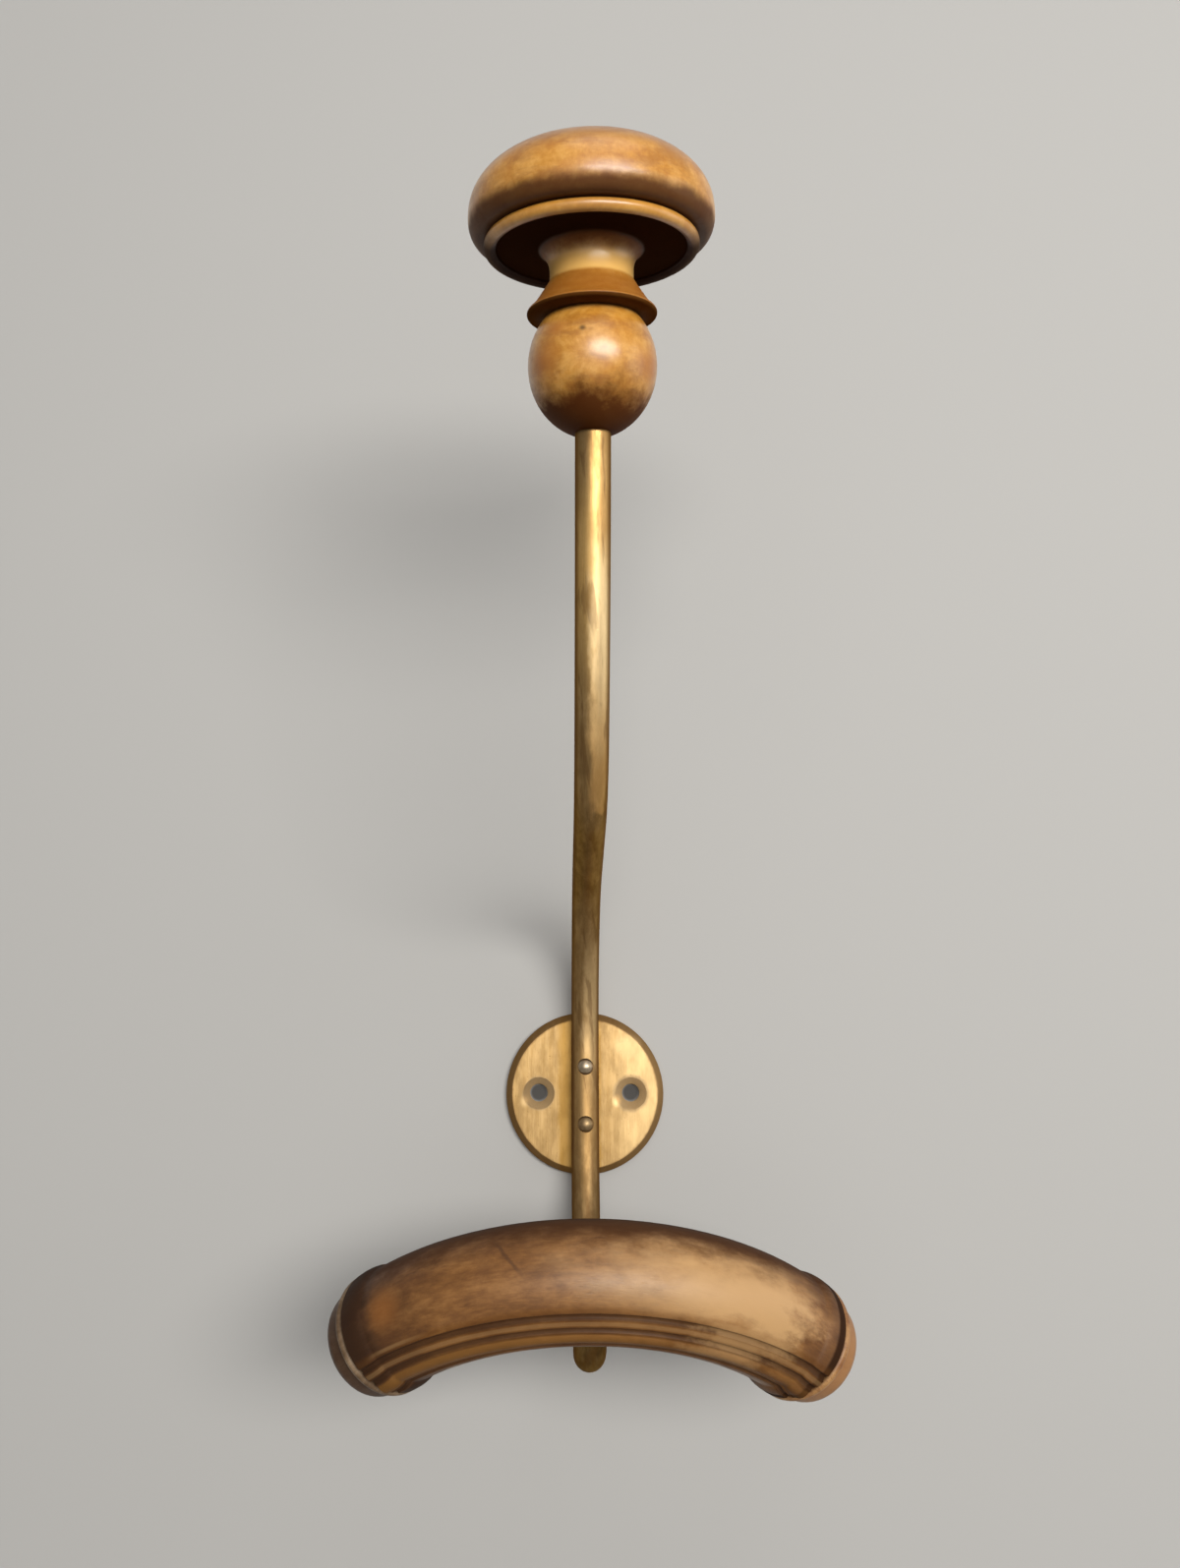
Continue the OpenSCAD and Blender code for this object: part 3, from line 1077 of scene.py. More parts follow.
@dataclass
class HookRod:
    """Bent brass rod, flat where it seats on the plate, with two sunk seats for the rivets."""

    finish: BrassFinish
    path: RodPath
    radius: float = 0.004
    plate_t: float = PLATE_T
    knob_bore: float = 0.026
    tip_reach: float = 0.0036
    rivet_spacing: float = RIVET_SPACING
    seat_r: float = 0.00235
    seat_depth: float = 0.0009
    # How far the seats' cutter reaches out
    seat_reach: float = 0.003
    # The rod's first ring is nearer to the wall than this, and its later ones at that height aren't
    near_wall: float = 0.02
    points_round: int = 64
    degrees_a_step: float = 2.5
    brown: Colour = srgb(110, 80, 48)
    # The tone between its marks
    old_brass: Colour = srgb(142, 112, 70)
    marks: tuple[RodMark, ...] = (
        # Painted shade on the dark tip, under the bend
        RodMark((-0.2, -0.19, -0.085, -0.05), TARNISH_AND_SHADE, left=0.95, right=0.93),
        # Tarnish above the tip
        RodMark((-0.07, -0.05, -0.034, -0.012), TARNISH_AND_SHADE, left=0.16, right=0.66),
        # Worn at the rivets
        RodMark((-0.03, -0.004, 0.004, 0.03), WORN_AND_SHEEN_BRASS, left=0.27, right=0.27),
        # Painted highlight on the right, above the plate
        RodMark((-0.01, 0.03, 0.036, 0.058), PAINTED_HIGHLIGHT_BRASS, left=0, right=0.45),
        # Tarnish in the sweep, with a painted dark reflection on the left
        RodMark((0.04, 0.09, 0.1, 0.15), TARNISH_AND_SHADE, left=0.42, right=0.04),
        # Painted sheen on the right, from the bend up
        RodMark((0.1195, 0.1215, 0.21, 0.24), WORN_AND_SHEEN_BRASS, left=0, right=1),
        # Painted highlight on the right
        RodMark((0.13, 0.166, 0.17, 0.19), PAINTED_HIGHLIGHT_BRASS, left=0, right=1),
        # Painted highlight on the left
        RodMark((0.142, 0.178, 0.18, 0.207), srgb(230, 186, 112), left=0.76, right=0),
        # Painted shade under the knob
        RodMark((0.185, 0.207, 0.3, 0.31), TARNISH_AND_SHADE, left=0.2, right=0.15),
    )

    def run(self, pose: Pose, stretches: Sequence[Stretch], buried: float) -> None:
        """Extrudes and spins the selected ring along a run, and closes its end.

        Args:
            pose: Where the run starts.
            stretches: Its stretches.
            buried: Length that it goes on into the wood.
        """
        for stretch in [*stretches, Stretch(buried)]:
            end = stretch.after(pose)
            if stretch.turn == 0:
                step = end.point() - pose.point()
                bpy.ops.mesh.extrude_edges_move(TRANSFORM_OT_translate={"value": step})
            else:
                way = math.copysign(1, stretch.turn)
                bpy.ops.mesh.spin(
                    steps=math.ceil(abs(stretch.turn) / self.degrees_a_step),
                    angle=math.radians(abs(stretch.turn)),
                    center=stretch.centre(pose).point(),
                    axis=(way, 0, 0),
                )
            pose = end
        bpy.ops.mesh.edge_face_add()

    def seat_cutter(self) -> bpy.types.Object:
        """Returns the cutter of a rivet's round seat, along +Z from the seat."""
        outline = [(0, 0), (self.seat_r, 0), (self.seat_r, self.seat_reach), (0, self.seat_reach)]
        return turned("seat_cutter", outline, 48)

    def build(self) -> None:
        """Makes the rod, from the low end of its seat up to the knob and down to the arch."""
        deselect()
        low = self.path.lower_start()
        start = {"vertices": self.points_round, "radius": self.radius, "location": low.point()}
        bpy.ops.mesh.primitive_circle_add(**start)
        rod = bpy.context.object
        rod.name = "hook_rod_brass"
        bpy.ops.object.transform_apply(location=True)
        edit(rod)
        bpy.ops.mesh.select_all(action="SELECT")
        bpy.ops.mesh.extrude_edges_move(TRANSFORM_OT_translate={"value": (0, 0, self.path.seat_len)})
        self.run(self.path.upper_start(), self.path.upper(), self.knob_bore)
        select_points(rod, lambda co: abs(co.z - low.up) < WELD and co.y > -self.near_wall)
        self.run(low, self.path.lower(), self.tip_reach)
        bpy.ops.mesh.select_all(action="SELECT")
        bpy.ops.mesh.bisect(
            plane_co=(0, -self.plate_t, 0), plane_no=(0, 1, 0), use_fill=True, clear_outer=True
        )
        close_mesh()
        for side in Side:
            cutter = self.seat_cutter()
            out = self.path.rod_out + self.radius - self.seat_depth
            at = Matrix.Translation((0, -out, side.value * self.rivet_spacing / 2))
            settle(cutter, at @ rotation(90, "X"))
            drill(rod, cutter)
        self.note_rod_places(rod)
        finish_piece(rod, "hook_rod", self.finish.build(self.tint), 30)

    def note_rod_places(self, rod: bpy.types.Object) -> None:
        """Writes each point's place on the rod as if it were straight, with +Z up the rod.

        Args:
            rod: The rod.
        """
        rows = self.path.samples()
        tree = KDTree(len(rows))
        for i, row in enumerate(rows):
            tree.insert(row[0], i)
        tree.balance()

        def straight(co: Vector) -> tuple[float, float, float]:
            """Works out a point's place on the straightened rod.

            Args:
                co: The point.

            Returns:
                Its place, with X to the right, Y inwards and Z up the rod.
            """
            point, direction, outward, gone = rows[tree.find(Vector((0, co.y, co.z)))[1]]
            off = co - point
            return (off.x, -off.dot(outward), gone + off.dot(direction))

        note_places(rod, straight)

    def tint(self, paint: Paint) -> None:
        """Adds the tarnish and the wear, with painted shade and highlights, which differ along the rod and
        between its left and right.

        Args:
            paint: The finish to paint into.
        """
        bench = paint.bench
        x, y, along = bench.split(paint.place)
        drift = bench.drift(paint.place, (300, 300, 110), 0.6, 4)
        drifted = bench.drifted(along, drift, 0.012)
        right = bench.window(bench.drifted(x, drift, 0.006), -0.0016, 0.0008)
        tone = Paint(bench, paint.place, self.old_brass)
        for mark in self.marks:
            share = bench.plus(bench.times(right, mark.right - mark.left), mark.left)
            tone.lay(bench.times(bench.band(drifted, *mark.reach), share), mark.colour)
        paint.lay(1.0, tone.colour, 0.72)
        slanted = bench.join(bench.plus(x, bench.times(along, 0.1)), y, along)
        streaks = bench.noise(slanted, (430, 430, 65), 3, 0.55, 0.4)
        paint.lay(bench.window(streaks, 0.53, 0.66), self.brown, 0.5, 0.1)
        paint.lay(bench.fall(along, 0.03, 0.09), self.brown, 0.12, 0.25)
        # Painted dark reflection on the rod's left and right edges
        paint.lay(bench.window(bench.math("ABSOLUTE", x), 0.0028, 0.0038), self.brown, 0.85, 0.4)


@dataclass
class Rivet:
    """Brass rivet with a domed head on the rod and a foot closed in the plate's back."""

    finish: BrassFinish
    node: str
    up: float
    seat_out: float = 0.0096
    shank_r: float = 0.0016
    head_r: float = 0.0023
    head_h: float = 0.0019
    foot_r: float = 0.0028

    def outline(self) -> Outline:
        """Works out the half outline, from the foot out.

        Returns:
            Places as (radius, height).
        """
        dome_r = (self.head_r**2 + self.head_h**2) / (2 * self.head_h)
        middle = (0.0, self.seat_out + self.head_h - dome_r)
        low = math.degrees(math.asin((dome_r - self.head_h) / dome_r))
        foot = self.foot_r - self.shank_r
        return [
            (0, 0),
            (self.foot_r, 0),
            (self.shank_r, foot),
            (self.shank_r, self.seat_out),
            (self.head_r, self.seat_out),
            *arc(middle, dome_r, dome_r, low, 90, 12),
            (0, self.seat_out + self.head_h),
        ]

    def build(self) -> None:
        """Makes the rivet and drives it through the rod and the plate."""
        rivet = turned(f"{self.node}_brass", self.outline(), 64)
        note_places(rivet, lambda co: co)
        at = Matrix.Translation((0, 0, self.up)) @ rotation(90, "X")
        settle(rivet, at)
        finish_piece(rivet, self.node, self.finish.build(plain_tint), 35)


@dataclass
class HatKnob:
    """Turned knob: a ball, a thin collar, a waisted neck and a mushroom cap with a bead."""

    finish: WoodFinish
    path: RodPath
    # Lean to the right, in degrees
    lean: float = -0.6
    ball_r: float = 0.0142
    ball_half: float = 0.0152
    foot_r: float = 0.005
    collar_r: float = 0.0143
    collar_t: float = 0.0014
    collar_up: float = 0.0107
    neck_r: float = 0.0092
    cone_h: float = 0.0064
    cone_power: float = 2.1
    flare_w: float = 0.0044
    flare_h: float = 0.005
    cap_r: float = 0.0269
    cap_up: float = 0.0312
    dome_rise: float = 0.0147
    dome_power: float = 0.88
    edge_drop: float = 0.0041
    edge_w: float = 0.0024
    bead_r: float = 0.0236
    bead_t: float = 0.0028
    dirt_and_painted_shade: Colour = (0.02, 0.007, 0.003)
    red_dirt_and_shade: Colour = (0.1, 0.026, 0.006)
    foot_stain_and_shade: Colour = (0.075, 0.02, 0.004)
    edge_stain_and_shade: Colour = (0.075, 0.024, 0.006)
    cone_brown: Colour = (0.28, 0.09, 0.007)
    collar_painted_shade: Colour = (0.06, 0.018, 0.004)
    amber: Colour = (0.4, 0.13, 0.006)
    top_painted_shade: Colour = (0.25, 0.1, 0.016)
    waist_painted_highlight: Colour = (0.86, 0.5, 0.14)
    dent_at: tuple[float, float, float] = (-0.0024, -0.0134, 0.0186)
    dent_size: tuple[float, float, float] = (0.0011, 0.003, 0.0009)
    # Patches where the stain is deeper, as (centre, half size)
    amber_at: tuple[tuple[tuple[float, float, float], tuple[float, float, float]], ...] = (
        ((-0.0105, -0.0085, 0.0135), (0.006, 0.008, 0.005)),
        ((0.0125, -0.006, 0.0125), (0.005, 0.008, 0.006)),
        ((-0.008, -0.0105, 0.0195), (0.004, 0.006, 0.003)),
    )

    def place(self) -> Matrix:
        """Returns the place of the knob's foot, where the rod enters it."""
        return self.path.knob_pose().matrix() @ rotation(self.lean, "Y")

    def ball_mid(self) -> float:
        """Returns the height of the ball's middle above the knob's foot."""
        return self.ball_half * math.sqrt(1 - (self.foot_r / self.ball_r) ** 2)

    def dome(self, low: float) -> Outline:
        """Works out the dome's outline.

        Args:
            low: Height of its widest ring.

        Returns:
            Places from that ring to just before its top.
        """
        steps = 28
        angles = [math.radians(90 * i / steps) for i in range(steps)]
        power = self.dome_power
        return [
            (self.cap_r * math.cos(a) ** power, low + self.dome_rise * math.sin(a) ** power) for a in angles
        ]

    def cone(self, wide: float, low: float) -> Outline:
        """Works out the outline of the neck's cone-shaped foot.

        Args:
            wide: Radius of its wide end.
            low: Height of that end.

        Returns:
            Places from just above that end up to the neck.
        """
        steps = 8
        angles = [math.radians(90 * i / steps) for i in range(1, steps + 1)]
        power, reach = self.cone_power, wide - self.neck_r
        return [
            (self.neck_r + reach * max(0.0, math.cos(a)) ** power, low + self.cone_h * math.sin(a) ** power)
            for a in angles
        ]

    def outline(self) -> Outline:
        """Works out the half outline, from the foot up.

        Returns:
            Places as (radius, height).
        """
        ball_mid = self.ball_mid()
        half_t = self.collar_t / 2
        collar_mid = ball_mid + self.collar_up + half_t
        collar_in = self.collar_r - half_t
        cap_mid = ball_mid + self.cap_up
        bead_mid = cap_mid - self.edge_drop - self.bead_t / 2
        neck_top = bead_mid - self.flare_h
        foot_at = -math.degrees(math.acos(self.foot_r / self.ball_r))
        ball_end = math.degrees(math.asin(self.collar_up / self.ball_half))
        return [
            (0, 0),
            (self.foot_r, 0),
            *arc((0, ball_mid), self.ball_r, self.ball_half, foot_at, ball_end, 32),
            *arc((collar_in, collar_mid), half_t, half_t, -90, 90, 12),
            *self.cone(collar_in, collar_mid + half_t),
            *arc((self.neck_r + self.flare_w, neck_top), self.flare_w, self.flare_h, 180, 90, 14),
            *arc((self.bead_r - self.bead_t / 2, bead_mid), self.bead_t / 2, self.bead_t / 2, -180, 90, 18),
            *arc((self.cap_r - self.edge_w, cap_mid), self.edge_w, self.edge_drop, -90, 0, 10),
            *self.dome(cap_mid),
            (0, cap_mid + self.dome_rise),
        ]

    def build(self) -> None:
        """Makes the knob and drives it onto the rod."""
        knob = turned("knob_wood", self.outline(), 144)
        note_places(knob, lambda co: co)
        settle(knob, self.place())
        finish_piece(knob, "knob", self.finish.build(self.tint), 40)

    def tint(self, paint: Paint) -> None:
        """Darkens the ball's foot, the collar, the neck's ends and the underside of the cap, mostly as
        painted shade with some stain, and paints shade on the dome's top and a highlight on the neck's waist.

        Args:
            paint: The finish to paint into.
        """
        bench = paint.bench
        x, y, z = bench.split(paint.place)
        radius = bench.length(bench.join(x, y))
        drift = bench.drift(paint.place, (150, 150, 150), 0.62)
        height = bench.drifted(z, drift, 0.012)
        level = bench.drifted(z, drift, 0.003)
        mid = self.ball_mid()
        collar = mid + self.collar_up
        cap = mid + self.cap_up
        under = cap - self.edge_drop - self.bead_t / 2
        # Painted shade, with some stain, on the ball's foot
        paint.lay(bench.fall(height, 0.0038, 0.0108), self.foot_stain_and_shade, 0.97, 0.9)
        # Painted shade on the collar and on the ball just under it
        ring = bench.band(z, collar - 0.0022, collar, collar + 0.0006, collar + 0.001)
        paint.lay(ring, self.collar_painted_shade, 0.95, 1.0)
        cone = bench.band(z, collar + 0.0006, collar + 0.001, collar + 0.005, collar + 0.009)
        paint.lay(cone, self.cone_brown, 0.8, 0.45)
        # Painted highlight on the neck's waist
        waist = bench.band(z, collar + 0.0068, collar + 0.008, collar + 0.0108, collar + 0.0126)
        paint.lay(waist, self.waist_painted_highlight, 0.9)
        bead_in = self.bead_r - self.bead_t / 2
        inner = bench.fall(radius, bead_in - 0.0004, bead_in + 0.0003)
        inner = bench.times(inner, bench.fall(z, under + 0.003, under + 0.005))
        # Painted shade, with dark stain, on the neck's flare under the cap
        flare = bench.window(level, under - 0.0038, under - 0.001)
        paint.lay(bench.times(flare, inner), self.red_dirt_and_shade, 0.85, 0.75)
        # Painted shade, with dirt, on the cap's underside inside the bead
        paint.lay(bench.times(bench.window(z, under - 0.0014, under - 0.0004), inner), self.dirt_and_painted_shade, 0.95, 1.0)
        outer = bench.window(radius, bead_in - 0.0004, bead_in + 0.0003)
        bead = bench.band(z, under - 0.0018, under - 0.0012, under + 0.0006, under + 0.0012)
        paint.lay(bench.times(bead, outer), self.finish.light, 0.3)
        # Painted shade, with stain, on the dome's rounded lower edge
        groove = bench.times(outer, bench.window(z, under + 0.0007, under + 0.0012))
        groove = bench.times(groove, bench.fall(level, cap - 0.0024, cap + 0.0004))
        paint.lay(groove, self.edge_stain_and_shade, 0.92, 0.7)
        # Painted shade on the dome's top
        paint.lay(bench.window(level, cap + 0.003, cap + 0.0105), self.top_painted_shade, 0.75)
        # Painted shade on the back of the bead ring, under the cap
        ring = bench.band(z, under - 0.002, under - 0.0014, under + 0.0005, under + 0.002)
        ring = bench.times(ring, bench.window(radius, bead_in - 0.002, bead_in - 0.001))
        paint.lay(bench.times(ring, bench.window(y, -0.013, -0.002)), self.dirt_and_painted_shade, 0.92, 0.9)
        for centre, size in self.amber_at:
            paint.lay(bench.spot(paint.place, centre, size, 0.95), self.amber, 0.8)
        dent = bench.spot(paint.place, self.dent_at, self.dent_size, 0.9)
        paint.lay(dent, self.dirt_and_painted_shade, 0.75, 0.5)


@dataclass
class CoatArch:
    """Bentwood bar with a groove, a reed, a groove and a bead along each side, swelling at its ends."""

    finish: WoodFinish
    path: RodPath
    radius: float = 0.0637
    half: float = 48.9
    shift: float = 0.9
    lean: float = 0.6
    bar_r: float = 0.0134
    groove_r: float = 0.00075
    groove_out: float = 0.0001875
    groove_at: tuple[float, ...] = (63, 77.8, 104.5)
    # A groove's reach to either side, in radians, past which it isn't looked for
    groove_near: float = 0.2
    bead_at: float = 91
    bead_r: float = 0.0025
    bead_proud: float = 0.0005
    swell: float = 0.0009
    swell_len: float = 0.0055
    swell_full: float = 0.0015
    dirt_and_painted_shade: Colour = (0.055, 0.02, 0.006)
    deep_dirt_and_shade: Colour = (0.025, 0.01, 0.004)
    painted_sheen: Colour = (0.5, 0.3, 0.13)
    amber: Colour = (0.36, 0.13, 0.025)
    bead_colour: Colour = (0.22, 0.1, 0.022)
    # Ends of the crack as (along the bar, degrees from the outermost line)
    crack: tuple[tuple[float, float], tuple[float, float]] = ((-0.0207, -24), (-0.0134, 31))

    def frame(self) -> Matrix:
        """Works out the frame of the arch's circle.

        Returns:
            The frame, with the circle's middle at its origin and the arch's top along +Y.
        """
        lean = rotation(self.lean, "Y")
        down = Matrix.Translation((0, 0, -self.radius))
        return self.path.arch_pose().matrix() @ lean @ down @ rotation(90, "X")

    def end_place(self, side: Side) -> Matrix:
        """Works out the place of an end cap.

        Args:
            side: The end.

        Returns:
            The place, with its +Z out of the bar.
        """
        turn = rotation(90 - self.shift - side.value * self.half, "Z")
        out = Matrix.Translation((self.radius, 0, 0))
        return self.frame() @ turn @ out @ rotation(90 * side.value, "X")

    def section_radius(self, angle: float) -> float:
        """Works out the bar's radius, which the bead and the grooves change.

        Args:
            angle: The direction, in degrees from the bar's outermost line.

        Returns:
            The radius.
        """
        reach = self.bar_r
        bead_mid = self.bar_r + self.bead_proud - self.bead_r
        off = math.radians(abs(angle) - self.bead_at)
        if abs(bead_mid * math.sin(off)) < self.bead_r:
            edge = math.sqrt(self.bead_r**2 - (bead_mid * math.sin(off)) ** 2)
            reach = max(reach, bead_mid * math.cos(off) + edge)
        groove_mid = self.bar_r + self.groove_out
        for at in self.groove_at:
            off = math.radians(abs(angle) - at)
            if abs(off) < self.groove_near and abs(groove_mid * math.sin(off)) < self.groove_r:
                depth = math.sqrt(self.groove_r**2 - (groove_mid * math.sin(off)) ** 2)
                reach = min(reach, groove_mid * math.cos(off) - depth)
        return reach

    def section_angles(self) -> list[float]:
        """Lists the directions of the section's points, close together at the mouldings.

        Returns:
            The directions in degrees.
        """
        plain = [float(a) for a in range(0, 56, 4)]
        moulded = [57 + 0.55 * i for i in range(102)]
        rest = [float(a) for a in range(116, 180, 5)]
        half = [*plain, *moulded, *rest]
        return [*half, 180.0, *[-a for a in reversed(half) if a > 0]]

    def swelling(self, gap: float) -> float:
        """Works out how far the bar swells.

        Args:
            gap: Distance from the bar's end.

        Returns:
            Its height above the plain bar.
        """
        if gap >= self.swell_len:
            return 0.0
        share = max(0.0, gap - self.swell_full) / (self.swell_len - self.swell_full)
        return max(0.0, self.swell * (2 * math.sqrt(1 - share**2) - 1))

    def stations(self) -> list[float]:
        """Lists the bar's rings, close together at its swelling ends.

        Returns:
            Their distances from the bar's right end.
        """
        length = self.radius * math.radians(2 * self.half)
        end = [0.0, 0.0008, 0.0015, 0.0022, 0.0028, 0.0034, 0.004, 0.0045, 0.0049, 0.0053]
        count = 60
        inner = [end[-1] + (length - 2 * end[-1]) * i / count for i in range(1, count)]
        return [*end, *inner, *[length - gap for gap in reversed(end)]]

    def build(self) -> None:
        """Makes the bar and sets it on the rod's tip."""
        length = self.radius * math.radians(2 * self.half)
        angles = [(self.section_radius(a), math.radians(a)) for a in self.section_angles()]
        section = [(self.radius + r * math.cos(a), r * math.sin(a)) for r, a in angles]
        arch = trace("coat_arch_wood", section, closed=True)
        gone, grown = 0.0, 1.0
        for station in self.stations():
            if station > gone:
                turn = (station - gone) / self.radius
                bpy.ops.mesh.spin(steps=1, angle=turn, center=(0, 0, 0), axis=(0, 0, -1))
            gone = station
            scale = 1 + self.swelling(min(station, length - station)) / self.bar_r
            a = station / self.radius
            middle = (self.radius * math.cos(a), self.radius * math.sin(a), 0)
            step = scale / grown
            bpy.ops.transform.resize(value=(step, step, step), center_override=middle)
            grown = scale
        bpy.ops.mesh.edge_face_add()
        select_points(arch, lambda co: abs(co.y) < WELD and co.x > 0)
        bpy.ops.mesh.edge_face_add()
        close_mesh()
        note_places(arch, self.straight)
        settle(arch, self.frame() @ rotation(90 - self.shift - self.half, "Z"))
        finish_piece(arch, "coat_arch", self.finish.build(self.tint), 30)

    def straight(self, co: Vector) -> tuple[float, float, float]:
        """Works out a point's place on the bar as if it were straight.

        Args:
            co: The point, in the arch's own frame.

        Returns:
            Its place, with X along the bar from its middle and Y outwards.
        """
        a = math.atan2(co.y, co.x) - math.radians(self.half)
        return (-a * self.radius, math.hypot(co.x, co.y) - self.radius, co.z)

    def tint(self, paint: Paint) -> None:
        """Darkens the back, the ends and the grooves with dirt and painted shade, paints a sheen on the
        front, and adds the crack.

        Args:
            paint: The finish to paint into.
        """
        bench = paint.bench
        along, out, across = bench.split(paint.place)
        turn = bench.times(bench.math("ARCTAN2", across, out), 180 / math.pi)
        drift = bench.drift(paint.place, (120, 200, 200), 0.65)
        moved = bench.drifted(along, drift, 0.03)
        tilted = bench.drifted(turn, drift, 45)
        # Painted sheen: the front of the bar lighter right of the middle
        painted_sheen = bench.band(moved, -0.014, 0.026, 0.038, 0.0485)
        face = bench.band(tilted, -28, 16, 40, 66)
        paint.lay(bench.times(painted_sheen, face), self.painted_sheen, 0.85)
        # Painted shade, with dirt, on the back and the top edge
        paint.lay(bench.band(tilted, -150, -120, -30, 4), self.dirt_and_painted_shade, 0.95, 0.7)
        # More painted shade, with dirt, along the top edge
        paint.lay(bench.band(turn, -150, -120, -56, -32), self.deep_dirt_and_shade, 0.7, 0.9)
        # Painted shade, with dirt, on the left end
        paint.lay(bench.fall(moved, -0.05, -0.03), self.dirt_and_painted_shade, 0.7, 0.3)
        glow = bench.spot(paint.place, (-0.044, 0.0125, 0.0045), (0.006, 0.006, 0.0065), 0.9)
        paint.lay(glow, self.amber, 0.4)
        # Painted shade, with dirt, deepest at the left end
        dark_end = bench.fall(bench.drifted(along, drift, 0.006), -0.0505, -0.0455)
        paint.lay(dark_end, self.deep_dirt_and_shade, 0.9, 0.6)
        # Painted shade on the right end
        right_end = bench.window(bench.drifted(along, drift, 0.012), 0.045, 0.052)
        paint.lay(right_end, self.dirt_and_painted_shade, 0.5, 0.2)
        # Painted shade in the gap against the right cap
        paint.lay(bench.window(along, 0.0518, 0.0528), self.deep_dirt_and_shade, 0.95, 0.8)
        sided = bench.math("ABSOLUTE", turn)
        paint.lay(bench.band(sided, 50, 57, 108, 114), self.finish.dark, 0.4, 0.5)
        half = math.degrees(self.groove_r / self.bar_r)
        # Painted shade, with dirt, in the grooves
        for at in self.groove_at:
            line = bench.band(sided, at - half * 1.5, at - half * 0.7, at + half * 0.7, at + half * 1.5)
            paint.lay(line, self.deep_dirt_and_shade, 0.65, 0.5)
        # Painted highlight along the reed
        reed = sum(self.groove_at[:2]) / 2
        paint.lay(bench.band(sided, reed - 3, reed - 1.5, reed + 1.5, reed + 3), self.painted_sheen, 0.2)
        bead = bench.band(sided, self.bead_at - 9, self.bead_at - 6, self.bead_at + 6, self.bead_at + 9)
        paint.lay(bench.times(bead, bench.window(along, -0.01, 0.03, 1, 0.25)), self.bead_colour, 0.6)
        # Painted highlight along the edge above the mouldings, near the left end
        line = bench.band(sided, 53, 55, 56, 58.5)
        paint.lay(bench.times(line, bench.band(along, -0.052, -0.046, -0.044, -0.034)), self.painted_sheen, 0.25)
        # Painted sheen on the mouldings right of the middle
        tan = bench.times(bench.band(sided, 52, 56, 92, 104), bench.band(moved, 0.019, 0.027, 0.034, 0.044))
        paint.lay(tan, self.painted_sheen, 0.35)
        (along_0, turn_0), (along_1, turn_1) = self.crack
        lean = (along_1 - along_0) / (turn_1 - turn_0)
        line = bench.plus(bench.times(bench.minus(turn, turn_0), lean), along_0)
        off = bench.math("ABSOLUTE", bench.drifted(bench.minus(along, line), drift, -0.003))
        reach = bench.band(turn, turn_0, turn_0 + 20, turn_1 - 20, turn_1)
        paint.lay(bench.times(bench.fall(off, 0.0001, 0.0007), reach), self.dirt_and_painted_shade, 0.6)


@dataclass
class EndCap:
    """Turned cap on an end of the bar: a shadow groove, a rounded rim and a round-edged boss."""

    finish: WoodFinish
    node: str
    place: Matrix
    rim_r: float = 0.0142
    rim_t: float = 0.0024
    boss_r: float = 0.0127
    boss_h: float = 0.0068
    boss_round: float = 0.0035
    gap: float = 0.0007
    neck_r: float = 0.0122
    spigot_r: float = 0.0045
    spigot_len: float = 0.01
    # The dark default boss colour, which the left cap keeps, is painted shade
    boss_colour: Colour = (0.045, 0.016, 0.005)
    dirt_and_painted_shade: Colour = (0.02, 0.009, 0.004)

    def outline(self) -> Outline:
        """Works out the half outline, from the spigot's inner end out.

        Returns:
            Places as (radius, height).
        """
        half_t = self.rim_t / 2
        rim_top = self.gap + self.rim_t
        top = rim_top + self.boss_h
        corner = (self.boss_r - self.boss_round, top - self.boss_round)
        return [
            (0, -self.spigot_len),
            (self.spigot_r, -self.spigot_len),
            (self.spigot_r, 0),
            (self.neck_r, 0),
            (self.neck_r, self.gap),
            *arc((self.rim_r - half_t, self.gap + half_t), half_t, half_t, -90, 90, 12),
            (self.boss_r, rim_top),
            *arc(corner, self.boss_round, self.boss_round, 0, 90, 14),
            (0, top),
        ]

    def build(self) -> None:
        """Makes the cap and sets it in the bar."""
        cap = turned(f"{self.node}_wood", self.outline(), 128)
        note_places(cap, lambda co: co)
        settle(cap, self.place)
        finish_piece(cap, self.node, self.finish.build(self.tint), 40)

    def tint(self, paint: Paint) -> None:
        """Paints shade into the gap and the crease, and gives the boss its own colour, which on the left cap
        is painted shade.

        Args:
            paint: The finish to paint into.
        """
        bench = paint.bench
        z = bench.split(paint.place)[2]
        rim_top = self.gap + self.rim_t
        paint.lay(bench.window(z, rim_top - 0.0002, rim_top + 0.0004), self.boss_colour, 0.8)
        # Painted shade in the gap
        paint.lay(bench.fall(z, self.gap - 0.0001, self.gap + 0.0005), self.dirt_and_painted_shade, 0.9, 0.8)
        # Painted shade in the crease between the rim and the boss
        crease = bench.band(z, rim_top - 0.0006, rim_top - 0.0001, rim_top + 0.0003, rim_top + 0.0012)
        paint.lay(crease, self.dirt_and_painted_shade, 0.6, 0.6)


# The studio


@dataclass(frozen=True)
class SoftLamp:
    """A soft lamp, round or flattened, that looks at the object's middle."""

    name: str
    place: tuple[float, float, float]
    width: float
    power: float
    # The lamp's height as a share of its width
    flat: float = 1.0
    aim: tuple[float, float, float] = (0, -0.05, 0.06)
    colour: Colour = (1, 1, 1)

    def build(self) -> None:
        """Hangs the lamp."""
        light = bpy.data.lights.new(self.name, "AREA")
        light.shape = "ELLIPSE"
        light.size = self.width
        light.size_y = self.width * self.flat
        light.energy = self.power
        light.color = self.colour
        lamp = bpy.data.objects.new(self.name, light)
        lamp.location = self.place
        lamp.rotation_euler = (Vector(self.aim) - Vector(self.place)).to_track_quat("-Z", "Y").to_euler()
        lamp.visible_camera = False
        bpy.context.scene.collection.objects.link(lamp)


